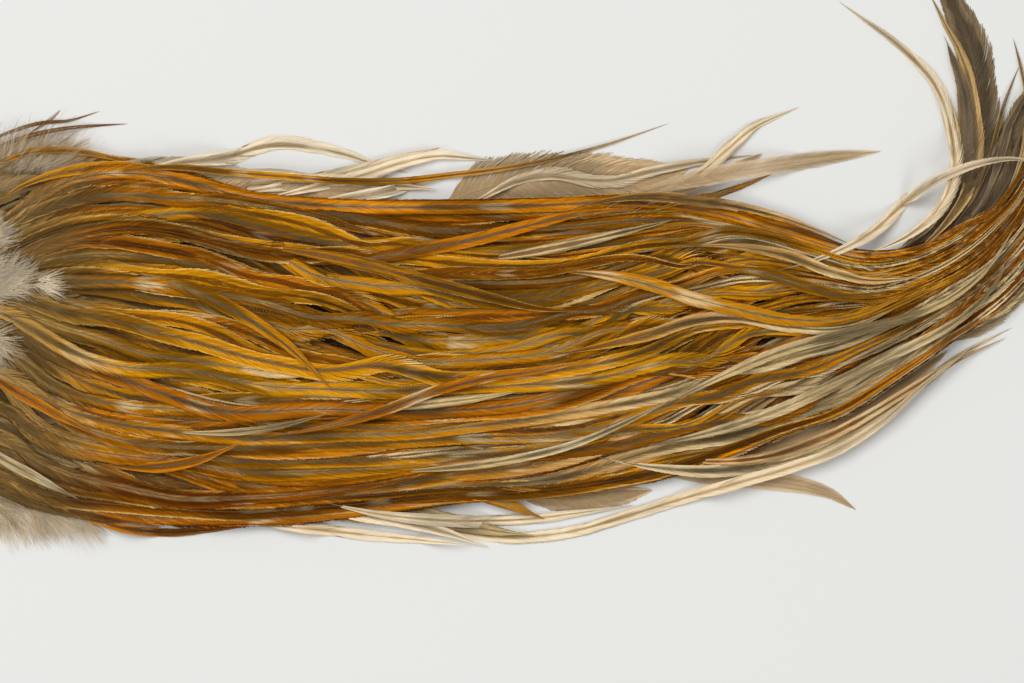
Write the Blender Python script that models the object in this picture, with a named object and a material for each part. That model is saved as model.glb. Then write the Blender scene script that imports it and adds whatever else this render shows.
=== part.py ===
"""Rooster saddle hackle, lying flat: a dried patch of skin and the long feathers that grow from it.

The frame has its origin at the centre of the skin's flat underside. +X runs from the skin along
the feathers to their tips, +Y across them, and +Z up. The surface it lies on is z = 0.

The feathers are far more than can each be a solid. The close pack of them is one coat with its locks
fused side by side, and every feather that lies free of it, on top or round its edge, is its own solid.
"""
import math
import random

import bmesh
import bpy
from mathutils import Vector
from mathutils.bvhtree import BVHTree

MM = 0.001

# Driving dimensions
SKIN_FRONT, SKIN_REAR = -47 * MM, 36 * MM
SKIN_HALF_WIDTH = 35 * MM
SKIN_THICKNESS = 1.6 * MM
GAP = 0.35 * MM
RING_SPACING = 9 * MM
FEATHER_THICKNESS = 0.85 * MM
BROAD_THICKNESS = 0.7 * MM
BROAD_FROM_MM = 6
SEED = 11

# The skin's outline: its corners, how square its oval is, and the two waves that make its edge uneven
SKIN_CORNERS = 40
SKIN_SQUARENESS = 0.72
SKIN_WAVES = ((5, 1.0, 0.018), (9, 0.0, 0.014))
# Its rings from the underside up: outline against the widest, and height against the thickness
SKIN_RINGS = ((0.985, 0.0), (1.0, 0.55), (0.955, 1.0))

# The coat from its front edge to its tips, in millimetres:
# a point on its inner edge, the point across from it on its outer edge, and its height there.
COAT_STATIONS = [
    (-41, 28, -41, -30, 4.0),
    (-24, 41, -24, -42, 11.0),
    (0, 48, 0, -51, 13.5),
    (25, 51, 25, -55, 13.0),
    (50, 48.5, 50, -57, 12.0),
    (75, 42.5, 75, -56.5, 11.0),
    (100, 40, 104, -54, 10.0),
    (130, 39.5, 134, -50, 9.5),
    (160, 40, 166, -47.5, 9.0),
    (190, 41, 196, -43, 9.0),
    (215, 38, 226, -38.5, 9.0),
    (238, 32.5, 250, -31, 9.0),
    (256, 26.5, 272, -16, 8.5),
    (271, 26.5, 290, -2, 7.8),
    (284, 31.5, 304, 9, 7.0),
    (294, 39, 315, 22, 6.0),
    (302, 48, 323, 37, 5.0),
    (307.5, 58, 328, 52, 4.0),
    (311, 69, 331, 67, 3.2),
    (313, 80, 333, 82, 2.6),
]
COAT_LOCKS = 28
BODY_ROWS, TIP_ROWS = 19, 6
TIPS_START, TIPS_END = 0.84, 0.93
RIDGE_HEIGHT = 0.9 * MM
RIDGE_UNEVENNESS = 0.4 * MM
LOCK_SWAY, LOCK_WAVES = 0.25, 9
RIM_LIFT = 2.4 * MM
RIM_WIDTH = 12 * MM
TIP_HEIGHT = 0.35 * MM
# The coat stays clear of the skin's thickness up to here
CLEAR_OF_SKIN_TO = SKIN_REAR + 18 * MM

# Colour, roughness and metallic value of each material
FINISHES = {
    "dried_skin": ((0.52, 0.38, 0.22), 0.55, 0.0),
    "hackle_coat": ((0.36, 0.18, 0.04), 0.5, 0.0),
    "golden_hackle": ((0.44, 0.24, 0.05), 0.45, 0.0),
    "ginger_hackle": ((0.37, 0.15, 0.03), 0.45, 0.0),
    "cream_hackle": ((0.60, 0.47, 0.28), 0.5, 0.0),
    "soft_grey_feather": ((0.24, 0.19, 0.14), 0.6, 0.0),
    "down": ((0.60, 0.53, 0.43), 0.8, 0.0),
}

# Feathers that lie partly under the coat's edge: name, finish, full width and route from root to tip,
# in millimetres.
TUCKED_FEATHERS = [
    ("broad_upper_feather", "soft_grey_feather", 15,
     [(130, 37), (140, 42.5), (153, 45.8), (168, 46.8), (183, 47.2), (196, 48.2), (208, 51)]),
    ("broad_lower_feather_1", "soft_grey_feather", 7.5,
     [(207, -36), (226, -35.5), (243, -31.5), (258, -24.5), (271, -15.5), (285, -5)]),
    ("broad_lower_feather_2", "soft_grey_feather", 9,
     [(280, -5), (291, 1.5), (300, 9), (309, 18), (317, 30), (322.5, 43)]),
    ("broad_lower_feather_3", "soft_grey_feather", 7.0,
     [(148, -46.5), (163, -49.3), (179, -49.3), (196, -46.8)]),
    ("lower_stray_1", "soft_grey_feather", 4.4,
     [(190, -41), (207, -42.8), (223, -43.6), (238, -45), (249, -47.8), (257.6, -52.8)]),
    ("broad_curl_feather_1", "soft_grey_feather", 11,
     [(286, 28), (292, 38), (295.5, 48), (296.2, 58), (295, 69), (293.8, 79), (291.2, 89), (287, 99),
      (281.5, 111)]),
    ("broad_curl_feather_2", "soft_grey_feather", 7.5,
     [(294, 36), (299, 45), (302.4, 54), (305.4, 63), (309.5, 75)]),
]

# Feathers that lie on the coat, on each other and out past its edge, in the order they are laid down
LOOSE_FEATHERS = [
    ("shoulder_hackle_1", "ginger_hackle", 2.0,
     [(-18, 49), (-8, 54), (2, 58), (11, 60.7), (23, 62.8), (37.5, 63.8)]),
    ("shoulder_hackle_2", "ginger_hackle", 1.8,
     [(-15, 54), (-4, 59), (9, 63.5), (20, 64.9), (29, 67.6)]),
    ("shoulder_hackle_3", "ginger_hackle", 2.6,
     [(-20, 38), (-8, 47.5), (4, 53.6), (13, 55.4), (23, 55.2), (36, 52.8), (50, 50)]),
    ("shoulder_hackle_4", "golden_hackle", 3.4,
     [(-6, 36), (6, 44.5), (19, 48.8), (33, 50.5), (46, 49.3), (57, 46.8), (67.4, 43.6)]),
    ("upper_stray_1", "cream_hackle", 4.2,
     [(34, 47), (50, 51.4), (65, 53.2), (78, 56.8), (88, 57.2), (101, 55.1), (113, 51.3), (122, 49)]),
    ("upper_stray_2", "cream_hackle", 4.6,
     [(64, 42), (82, 44.5), (100, 48), (112, 51), (122, 54), (131.8, 56.6)]),
    ("upper_stray_3", "cream_hackle", 4.0,
     [(72, 39.5), (90, 43.5), (107, 47.8), (120, 51.8), (132, 54), (149.8, 52.4)]),
    ("upper_stray_4", "cream_hackle", 3.6,
     [(84, 38.5), (102, 41), (115, 43.2), (127, 46.6), (140, 48.8)]),
    ("upper_stray_5", "ginger_hackle", 3.2,
     [(22, 46), (38, 49.6), (52, 50.4), (66, 49.2), (82, 47.9), (100, 46.5), (118, 46.4),
      (134, 48.1), (150, 50.2), (166, 53.2), (183, 57.8), (200.6, 63.8)]),
    ("upper_stray_6", "cream_hackle", 3.8,
     [(132, 35), (144, 41), (154, 46), (164, 48), (175, 46.9), (184, 46.8), (196, 49.5), (209, 52),
      (226.3, 54.4)]),
    ("upper_stray_7", "cream_hackle", 3.8,
     [(184, 37), (198, 42.5), (209, 48), (218, 55.5), (227, 62.8), (240.2, 68.8)]),
    ("upper_stray_8", "soft_grey_feather", 4.4,
     [(190, 37), (203, 43.5), (216, 48.2), (229.2, 54.9)]),
    ("upper_stray_9", "ginger_hackle", 2.6,
     [(190, 35), (203, 39.6), (213, 41.8), (223, 45), (233, 49)]),
    ("upper_stray_10", "soft_grey_feather", 5.4,
     [(178, 36), (190, 42), (202, 45.3), (216, 48.2), (231, 50.8), (248, 53.4), (265, 55.5)]),
    ("upper_edge_hackle", "ginger_hackle", 3.6,
     [(166, 36), (180, 40), (194, 41.4), (208, 40.3), (221, 38.6), (234, 35.6), (246, 31.4), (255, 27.6)]),
    ("curl_stray_1", "cream_hackle", 2.4,
     [(262, 23), (272, 27), (280, 33), (285, 40), (287.6, 48), (288.7, 58), (289, 68), (288, 78),
      (286.4, 85), (284, 90.3)]),
    ("curl_stray_2", "golden_hackle", 3.8,
     [(268, 21), (278, 27.5), (286, 36), (291, 45), (293.2, 54), (293.2, 64), (291.8, 75), (289, 84.5),
      (285, 92.5), (279.5, 103.5)]),
    ("curl_stray_3", "ginger_hackle", 2.8,
     [(287, 33), (293, 42), (297, 51), (299.5, 60), (301.6, 68), (304.1, 74.8), (306.8, 81.3)]),
    ("curl_stray_4", "ginger_hackle", 2.8,
     [(299, 36), (305.5, 49), (308.6, 61), (308.8, 71), (307.3, 80), (305, 89.5)]),
    ("curl_stray_5", "ginger_hackle", 3.4,
     [(291, 34), (297, 44), (300.6, 54), (303, 62), (306.8, 69.5), (312, 78)]),
    ("curl_stray_6", "cream_hackle", 2.2,
     [(266, 23), (275, 29), (282, 36.5), (286.4, 45), (288, 55), (287.3, 64), (285.3, 71), (282.5, 75.8)]),
    ("curl_stray_7", "cream_hackle", 3.6,
     [(254, 23.5), (263, 25.5), (272, 29.5), (279.5, 35.5), (284.6, 43.5), (286.5, 53), (285.3, 64),
      (281.8, 74), (276.2, 81.7), (269.2, 88.4), (261, 94.5), (252.5, 100.6)]),
    ("curl_stray_8", "cream_hackle", 3.4,
     [(230, 18.5), (243, 22), (254, 26.4), (263, 31.8), (270, 38.2), (278, 44.6), (289, 49.8),
      (299, 52.4), (307, 52.6), (313, 50.4)]),
    ("lower_edge_hackle_1", "cream_hackle", 3.8,
     [(176, -36), (194, -39.5), (212, -40.8), (230, -39.2), (246, -34.6), (261, -26.2), (276, -15.6),
      (290, -5.6), (304.5, 2.2)]),
    ("lower_edge_hackle_2", "ginger_hackle", 3.0,
     [(192, -35.5), (212, -38), (230, -36.6), (246, -31.4), (259, -25), (273, -16.6), (288, -7.6),
      (302.8, -0.8)]),
    ("lower_stray_2", "cream_hackle", 3.6,
     [(118, -53), (134, -58.6), (152, -61), (170, -59.6), (187, -55), (203, -50), (219, -45.2),
      (235, -40.6), (250, -35.2), (264, -26.8), (278, -14.6), (293.4, -2.6)]),
    ("lower_stray_3", "cream_hackle", 4.0,
     [(86, -51), (102, -53.6), (118, -55.8), (132, -59), (146.5, -64)]),
    ("lower_stray_4", "cream_hackle", 3.4,
     [(62, -53), (78, -56.8), (96, -58.8), (114, -60.8), (141, -63.2)]),
    ("lower_stray_5", "cream_hackle", 3.6,
     [(92, -49), (112, -53.6), (134, -55.8), (155, -55.8), (173, -53.8), (190.5, -51.3)]),
    ("lower_stray_6", "golden_hackle", 3.8,
     [(132, -44), (145, -48.4), (155, -52), (163.5, -55.6)]),
    ("lower_stray_7", "ginger_hackle", 2.8,
     [(10, -48), (24, -54.4), (36, -58), (48, -59.5), (61, -59), (73.6, -57.8)]),
    ("crossing_hackle_1", "golden_hackle", 4.6,
     [(26, 22), (42, 18.2), (55, 14.4), (67, 9), (78, 2.6), (88, -4.8), (99.8, -16.4)]),
    ("crossing_hackle_2", "cream_hackle", 3.4,
     [(-14, -27.5), (-1, -36), (11, -42.6), (23.5, -49.3)]),
    ("crossing_hackle_3", "ginger_hackle", 3.2,
     [(-10, -6), (1, -14.2), (12, -20.6), (21, -25.6), (29.5, -30)]),
    ("crossing_hackle_4", "ginger_hackle", 3.4,
     [(26, -38.5), (44, -39.6), (59, -37.4), (72.5, -32.4)]),
    ("crossing_hackle_5", "cream_hackle", 2.8,
     [(48, -29), (66, -29.3), (82, -27.6), (98.5, -23.6)]),
    ("crossing_hackle_6", "ginger_hackle", 4.0,
     [(86, 21), (104, 22), (122, 24.8), (140, 28.2), (156, 32.2), (173, 36.2), (192, 38.4)]),
    ("crossing_hackle_7", "golden_hackle", 4.0,
     [(70, 27.5), (90, 25), (110, 21), (127, 16.4), (144, 12), (160, 8.2), (174, 7)]),
    ("crossing_hackle_8", "cream_hackle", 4.6,
     [(160, -7), (176, -4.2), (192, -0.6), (206, 3.6), (219, 5), (234, 2.8), (247, 1.6), (258, 3.4),
      (268, 7.6)]),
    ("crossing_hackle_9", "golden_hackle", 4.2,
     [(158, 19.6), (176, 18.6), (191, 16), (205, 11.8), (219, 8.2), (233, 5.2), (247, 4.4), (260, 7),
      (274, 13.4)]),
    ("crossing_hackle_10", "cream_hackle", 3.8,
     [(200, 26.6), (218, 26.8), (234, 24.2), (248, 19.4), (261, 16.4), (276, 17.4)]),
    ("crossing_hackle_11", "golden_hackle", 3.8,
     [(208, 20.6), (226, 19), (241, 14.8), (253, 11.8), (266, 12.8)]),
    ("crossing_hackle_12", "cream_hackle", 3.6,
     [(110, -41.4), (132, -40.2), (152, -37.6), (170, -33.4), (186, -27), (202, -19)]),
    ("crossing_hackle_13", "cream_hackle", 3.8,
     [(106, -23.4), (124, -21.2), (141, -19.2), (155.5, -17)]),
    ("crossing_hackle_14", "ginger_hackle", 4.0,
     [(76, -31.4), (95, -28), (113, -23.2), (129, -17.4), (145, -13.2), (162, -10.6), (180, -6.6)]),
    ("crossing_hackle_15", "soft_grey_feather", 4.0,
     [(194, -24), (214, -13.6), (233, -5.4), (252, 0), (269, 4.4), (284, 10.6), (296, 20), (305, 33)]),
    ("crossing_hackle_16", "cream_hackle", 4.6,
     [(188, -34.6), (210, -30), (231, -23.4), (250, -15), (266, -7), (280, 0), (290, 6.4), (297.5, 14),
      (304, 24)]),
    ("crossing_hackle_17", "cream_hackle", 3.8,
     [(132, 21.4), (150, 23.4), (168, 26.6), (185, 30.4), (202, 34.6)]),
]

# Tufts of down at the feathers' roots, beyond each edge of the coat: name, the stretch of the edge
# that it stands along, how far it reaches, which edge it is on, and how it leans towards the tips.
DOWN_TUFTS = [
    ("upper_down", -26 * MM, 23 * MM, 13 * MM, 1, 7 * MM),
    ("lower_down", -26 * MM, 27 * MM, 14 * MM, -1, 8 * MM),
]
DOWN_COLUMNS = 15
DOWN_HEIGHT = 3.2 * MM
# Its rows from under the coat outwards: the last is at the points' own reach
DOWN_HIDDEN = (-3 * MM, 0.5 * MM)
DOWN_SHARES = (0.45, 0.75)
DOWN_HEIGHTS = (0.5 * MM, 0.9 * MM, DOWN_HEIGHT, 0.6 * DOWN_HEIGHT, TIP_HEIGHT)
DOWN_NOTCH = 0.72

# How finely curves are followed when they are measured
CURVE_STEPS = 24
EDGE_STEPS = 400
REST_STEPS = 5
REST_PROBES = 4


def smoothstep(low, high, value):
    share = min(1.0, max(0.0, (value - low) / (high - low)))
    return share * share * (3 - 2 * share)


def spline_at(points, place):
    """The point of a smooth curve through `points`, at a place that counts them from 0."""
    first = min(int(place), len(points) - 2)
    t = place - first
    before = points[max(first - 1, 0)]
    start, end = points[first], points[first + 1]
    after = points[min(first + 2, len(points) - 1)]
    return tuple(
        0.5 * (2 * b + (c - a) * t + (2 * a - 5 * b + 4 * c - d) * t * t + (3 * b - a - 3 * c + d) * t ** 3)
        for a, b, c, d in zip(before, start, end, after)
    )


def even_route(points, spacing):
    """Points at an even spacing along the smooth curve through a route given in millimetres."""
    dense = [
        Vector(spline_at(points, i / CURVE_STEPS)) * MM
        for i in range(CURVE_STEPS * (len(points) - 1) + 1)
    ]
    lengths = [0.0]
    for a, b in zip(dense, dense[1:]):
        lengths.append(lengths[-1] + (b - a).length)
    count = max(4, round(lengths[-1] / spacing))
    route = []
    reached = 0
    for i in range(count + 1):
        wanted = lengths[-1] * i / count
        while reached < len(dense) - 2 and lengths[reached + 1] < wanted:
            reached += 1
        share = (wanted - lengths[reached]) / (lengths[reached + 1] - lengths[reached])
        route.append(dense[reached].lerp(dense[reached + 1], share))
    return route


def sideways(route, i):
    """The level direction across a route at one of its points."""
    ahead = (route[min(i + 1, len(route) - 1)] - route[max(i - 1, 0)]).normalized()
    return Vector((-ahead.y, ahead.x))


def finish_material(name):
    material = bpy.data.materials.get(name) or bpy.data.materials.new(name)
    colour, roughness, metallic = FINISHES[name]
    material.use_nodes = True
    surface = material.node_tree.nodes["Principled BSDF"]
    surface.inputs["Base Color"].default_value = (*colour, 1.0)
    surface.inputs["Roughness"].default_value = roughness
    surface.inputs["Metallic"].default_value = metallic
    material.diffuse_color = (*colour, 1.0)
    return material


def add_solid(name, points, faces, finish):
    """Makes one closed, triangulated solid, faces outwards, and returns a tree to measure rests on."""
    mesh = bpy.data.meshes.new(name)
    mesh.from_pydata(points, [], faces)
    shape = bmesh.new()
    shape.from_mesh(mesh)
    if shape.calc_volume(signed=True) < 0:
        bmesh.ops.reverse_faces(shape, faces=shape.faces)
    bmesh.ops.triangulate(shape, faces=shape.faces)
    shape.to_mesh(mesh)
    tree = BVHTree.FromBMesh(shape)
    shape.free()
    mesh.materials.append(finish_material(finish))
    bpy.context.collection.objects.link(bpy.data.objects.new(name, mesh))
    return tree


def sheet_solid(name, top, bottom, finish):
    """A closed solid between two grids of points that share their border, which is the top's."""
    rows, columns = len(top), len(top[0])
    points = [point for row in top for point in row]
    under = {}
    for i in range(rows):
        for j in range(columns):
            if i in (0, rows - 1) or j in (0, columns - 1):
                under[i, j] = i * columns + j
            else:
                under[i, j] = len(points)
                points.append(bottom[i][j])
    faces = []
    for i in range(rows - 1):
        for j in range(columns - 1):
            corners = [(i, j), (i + 1, j), (i + 1, j + 1), (i, j + 1)]
            faces.append([a * columns + b for a, b in corners])
            faces.append([under[corner] for corner in reversed(corners)])
    return add_solid(name, points, faces, finish)


def make_skin():
    """The dried skin: an uneven oval with a flat underside and a worn, slightly rounded edge."""
    around = SKIN_CORNERS
    middle = (SKIN_FRONT + SKIN_REAR) / 2
    half_length = (SKIN_REAR - SKIN_FRONT) / 2
    longest = 1 + sum(size for _, _, size in SKIN_WAVES)
    points = []
    for scale, level in SKIN_RINGS:
        for i in range(around):
            angle = 2 * math.pi * i / around
            ragged = 1 + sum(size * math.sin(count * angle + start) for count, start, size in SKIN_WAVES)
            along = math.copysign(abs(math.cos(angle)) ** SKIN_SQUARENESS, math.cos(angle))
            across = math.copysign(abs(math.sin(angle)) ** SKIN_SQUARENESS, math.sin(angle))
            points.append((
                middle + half_length * along * scale * ragged / longest,
                SKIN_HALF_WIDTH * across * scale * ragged,
                SKIN_THICKNESS * level,
            ))
    faces = [list(range(around))[::-1], [2 * around + i for i in range(around)]]
    for ring in (0, around):
        for i in range(around):
            after = (i + 1) % around
            faces.append([ring + i, ring + after, ring + around + after, ring + around + i])
    return add_solid("skin", points, faces, "dried_skin")


def coat_section(share):
    """Inner edge, outer edge and height of the coat, at a share of the way to its furthest tips."""
    inner_x, inner_y, outer_x, outer_y, height = spline_at(COAT_STATIONS, share * (len(COAT_STATIONS) - 1))
    return Vector((inner_x, inner_y)) * MM, Vector((outer_x, outer_y)) * MM, height * MM


def lock_ends(chance):
    """How far along the coat each column of its grid ends: notches between locks, and locks' tips."""
    tips = []
    for lock in range(COAT_LOCKS):
        across = (lock + 0.5) / COAT_LOCKS
        tips.append(TIPS_END + 0.03 * math.sin(math.pi * across) + chance.uniform(-0.03, 0.04))
    ends = [tips[0] - 0.04]
    for tip, after in zip(tips, tips[1:] + tips[-1:]):
        ends += [tip, min(tip, after) - chance.uniform(0.03, 0.05)]
    return ends


def make_coat():
    """The close-packed feathers: locks fused side by side, each a ridge that ends in its own tip."""
    chance = random.Random(SEED)
    ends = lock_ends(chance)
    sway = [chance.uniform(0, 2 * math.pi) for _ in ends]
    rise = [chance.uniform(-RIDGE_UNEVENNESS, RIDGE_UNEVENNESS) for _ in ends]
    last = len(ends) - 1
    top, bottom = [], []
    for i in range(BODY_ROWS + TIP_ROWS + 1):
        to_tip = max(0.0, (i - BODY_ROWS) / TIP_ROWS)
        fullness = smoothstep(1.0, 0.0, to_tip)
        top_row, bottom_row = [], []
        for j in range(last + 1):
            share = TIPS_START * min(1.0, i / BODY_ROWS) + (ends[j] - TIPS_START) * to_tip
            inner, outer, height = coat_section(share)
            across = j / last
            if j % 2:
                across += LOCK_SWAY / COAT_LOCKS * math.sin(LOCK_WAVES * share + sway[j])
            place = outer.lerp(inner, across)
            from_rim = min(across, 1 - across) * (inner - outer).length
            low = RIM_LIFT * max(0.0, 1 - from_rim / RIM_WIDTH) * smoothstep(1.0, 0.5, to_tip)
            if place.x < CLEAR_OF_SKIN_TO:
                low = max(low, SKIN_THICKNESS + GAP)
            crown = 1 - abs(2 * across - 1) ** 3
            ridge = (RIDGE_HEIGHT if j % 2 else -RIDGE_HEIGHT) + rise[j]
            high = RIM_LIFT + (height - RIM_LIFT) * crown + ridge * min(1.0, 4 * crown)
            high = TIP_HEIGHT + (high - TIP_HEIGHT) * fullness
            top_row.append((place.x, place.y, max(high, low + TIP_HEIGHT)))
            bottom_row.append((place.x, place.y, low))
        top.append(top_row)
        bottom.append(bottom_row)
    return sheet_solid("hackle_coat", top, bottom, "hackle_coat")


def make_down(name, front, rear, reach, side, lean, chance):
    """A tuft of down: a low fan of soft points, tucked thin under the coat's edge."""
    rows = DOWN_HIDDEN + tuple(share * reach for share in DOWN_SHARES)
    heights = DOWN_HEIGHTS
    top, bottom = [[] for _ in heights], [[] for _ in heights]
    for j in range(DOWN_COLUMNS):
        along = j / (DOWN_COLUMNS - 1)
        fade = math.sin(math.pi * (0.12 + 0.76 * along)) ** 0.5
        tip = reach * fade * (1.0 if j % 2 else DOWN_NOTCH) * chance.uniform(0.9, 1.05)
        for i, height in enumerate(heights):
            out = tip if i == len(heights) - 1 else rows[i] * (fade if i > 1 else 1.0)
            x = front + (rear - front) * along + lean * max(0.0, out) / reach
            edge = coat_edge_y(front + (rear - front) * along, side)
            is_end = j in (0, DOWN_COLUMNS - 1)
            top[i].append((x, edge + side * out, TIP_HEIGHT if is_end else height))
            bottom[i].append((x, edge + side * out, 0.0))
    return sheet_solid(name, top, bottom, "down")


def coat_edge_y(x, side):
    """Where the coat's edge is, across, at a distance along it near the skin."""
    nearest = min(
        (coat_section(i / EDGE_STEPS)[0 if side > 0 else 1] for i in range(EDGE_STEPS // 4)),
        key=lambda point: abs(point.x - x),
    )
    return nearest.y


def top_of(place, supports):
    """The height of whatever lies highest at a place, or the table's."""
    start = Vector((place.x, place.y, 0.1))
    hits = [tree.ray_cast(start, Vector((0, 0, -1)))[0] for tree in supports]
    return max([0.0] + [hit.z for hit in hits if hit])


def width_share(along, is_broad):
    """A feather's width against its widest: a thin root, long even sides and a pointed tip."""
    root = 0.3 + 0.7 * smoothstep(0.0, 0.16, along)
    if is_broad:
        return root * (1 - max(0.0, (along - 0.6) / 0.4) ** 2.5)
    return root * (1 - max(0.0, (along - 0.5) / 0.5) ** 2)


def resting_heights(route, half_widths, supports):
    """The height of the underside at each ring, so that the feather clears all it lies on."""
    raw = []
    for i in range(len(route) - 1):
        for step in range(REST_STEPS):
            share = step / REST_STEPS
            place = route[i].lerp(route[i + 1], share)
            side = sideways(route, i).lerp(sideways(route, i + 1), share)
            half = max(half_widths[i], half_widths[i + 1]) + GAP
            probes = [place + side * half * k / REST_PROBES for k in range(-REST_PROBES, REST_PROBES + 1)]
            raw.append(max(top_of(probe, supports) for probe in probes))
    raw.append(top_of(route[-1], supports))
    heights = []
    for i in range(len(route)):
        below = max(raw[max(0, (i - 1) * REST_STEPS):(i + 1) * REST_STEPS + 1])
        heights.append(below + GAP if below > 0 else 0.0)
    return heights


def make_feather(name, finish, width_mm, points, supports):
    """One feather: a shallow three-sided blade with its shaft as the ridge along the top."""
    route = even_route(points, RING_SPACING)
    last = len(route) - 1
    is_broad = width_mm > BROAD_FROM_MM
    thickness = BROAD_THICKNESS if is_broad else FEATHER_THICKNESS
    shares = [width_share(i / last, is_broad) for i in range(last + 1)]
    halves = [width_mm * MM / 2 * share for share in shares]
    lows = resting_heights(route, halves, supports)
    points = []
    for i in range(last):
        side = sideways(route, i) * halves[i]
        ridge = thickness * (0.45 + 0.55 * shares[i])
        points.append((*(route[i] + side), lows[i]))
        points.append((*route[i], lows[i] + ridge))
        points.append((*(route[i] - side), lows[i]))
    points.append((*route[last], lows[last] + 0.2 * thickness))
    tip = len(points) - 1
    faces = [[0, 1, 2]]
    for i in range(last - 1):
        for a, b in ((0, 1), (1, 2), (2, 0)):
            faces.append([3 * i + a, 3 * i + 3 + a, 3 * i + 3 + b, 3 * i + b])
    before = 3 * (last - 1)
    faces += [[before, tip, before + 1], [before + 1, tip, before + 2], [before + 2, tip, before]]
    return add_solid(name, points, faces, finish)


def main():
    for old in list(bpy.data.objects):
        bpy.data.objects.remove(old)
    chance = random.Random(SEED)
    skin = make_skin()
    tufts = [make_down(*tuft, chance) for tuft in DOWN_TUFTS]
    below = list(tufts)
    for name, finish, width, route in TUCKED_FEATHERS:
        below.append(make_feather(name, finish, width, route, below))
    supports = [skin, make_coat(), *below]
    for name, finish, width, route in LOOSE_FEATHERS:
        supports.append(make_feather(name, finish, width, route, supports))


main()
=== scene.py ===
"""Looks of the rooster saddle hackle: every feather with its shaft and barbs, the down and the dried skin.

+X runs from the skin along the feathers to their tips, +Y across them, and +Z up from the surface.
"""
import math

import bpy
import numpy as np
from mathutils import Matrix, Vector
from mathutils.bvhtree import BVHTree


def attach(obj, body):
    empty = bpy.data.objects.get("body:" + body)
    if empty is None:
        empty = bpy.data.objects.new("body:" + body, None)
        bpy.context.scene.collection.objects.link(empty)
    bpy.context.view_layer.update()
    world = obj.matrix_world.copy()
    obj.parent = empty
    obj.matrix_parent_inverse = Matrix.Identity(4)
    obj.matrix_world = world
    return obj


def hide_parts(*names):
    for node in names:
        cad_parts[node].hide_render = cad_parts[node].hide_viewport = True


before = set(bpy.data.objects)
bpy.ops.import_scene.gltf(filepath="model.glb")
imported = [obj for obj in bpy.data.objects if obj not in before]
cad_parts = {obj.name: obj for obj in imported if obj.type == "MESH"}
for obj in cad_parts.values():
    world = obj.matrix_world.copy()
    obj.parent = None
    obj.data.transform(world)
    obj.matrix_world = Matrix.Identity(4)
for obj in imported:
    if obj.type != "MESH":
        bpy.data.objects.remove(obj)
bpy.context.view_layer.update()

MM = 0.001
BODY = "root"
chance = np.random.default_rng(20)

# The photograph's frame on the surface, and a long lens above its middle
PHOTO_WIDTH = 307.2 * MM
PHOTO_CENTRE = (153.6 * MM, -1.95 * MM)
SHARP_HEIGHT = 9 * MM
LENS_MM, SENSOR_MM = 150, 36

# The coat from its front edge to its tips, in millimetres:
# a point on its inner edge, then the point across from it on its outer edge.
COAT_STATIONS = np.array([
    (-41, 28, -41, -30),
    (-24, 41, -24, -42),
    (0, 48, 0, -51),
    (25, 51, 25, -55),
    (50, 48.5, 50, -57),
    (75, 42.5, 75, -56.5),
    (100, 40, 104, -54),
    (130, 39.5, 134, -50),
    (160, 40, 166, -47.5),
    (190, 41, 196, -43),
    (215, 38, 226, -38.5),
    (238, 32.5, 250, -31),
    (256, 26.5, 272, -16),
    (271, 26.5, 290, -2),
    (284, 31.5, 304, 9),
    (294, 39, 315, 22),
    (302, 48, 323, 37),
    (307.5, 58, 328, 52),
    (311, 69, 331, 67),
    (313, 80, 333, 82),
]) * MM

# How the feathers wander as they run along the coat. Each row is one line of the flow: its share across
# the coat at its root, then where it is at even steps along the coat.
FLOW_STEPS = np.linspace(0.02, 0.82, 15)
FLOW_LINES = {
    0.0714: (0.083, 0.084, 0.070, 0.052, 0.038, 0.036, 0.036, 0.040, 0.058, 0.069, 0.099, 0.095, 0.110,
             0.115, 0.103),
    0.2143: (0.249, 0.232, 0.184, 0.167, 0.143, 0.130, 0.129, 0.134, 0.172, 0.229, 0.281, 0.289, 0.307,
             0.315, 0.300),
    0.3571: (0.402, 0.380, 0.319, 0.299, 0.285, 0.279, 0.264, 0.268, 0.290, 0.375, 0.427, 0.447, 0.453,
             0.469, 0.460),
    0.5000: (0.536, 0.540, 0.516, 0.488, 0.462, 0.420, 0.394, 0.406, 0.443, 0.522, 0.536, 0.558, 0.569,
             0.579, 0.569),
    0.6429: (0.667, 0.680, 0.688, 0.668, 0.656, 0.607, 0.528, 0.526, 0.613, 0.674, 0.700, 0.659, 0.661,
             0.665, 0.672),
    0.7857: (0.804, 0.794, 0.792, 0.808, 0.825, 0.788, 0.723, 0.702, 0.746, 0.827, 0.827, 0.797, 0.782,
             0.797, 0.780),
    0.9286: (0.937, 0.921, 0.923, 0.934, 0.948, 0.939, 0.903, 0.903, 0.916, 0.944, 0.929, 0.934, 0.942,
             0.939, 0.917),
}

# How high the coat's surfaces are taken to be outside its outline
RIM_LIFT = 2.4 * MM

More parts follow.
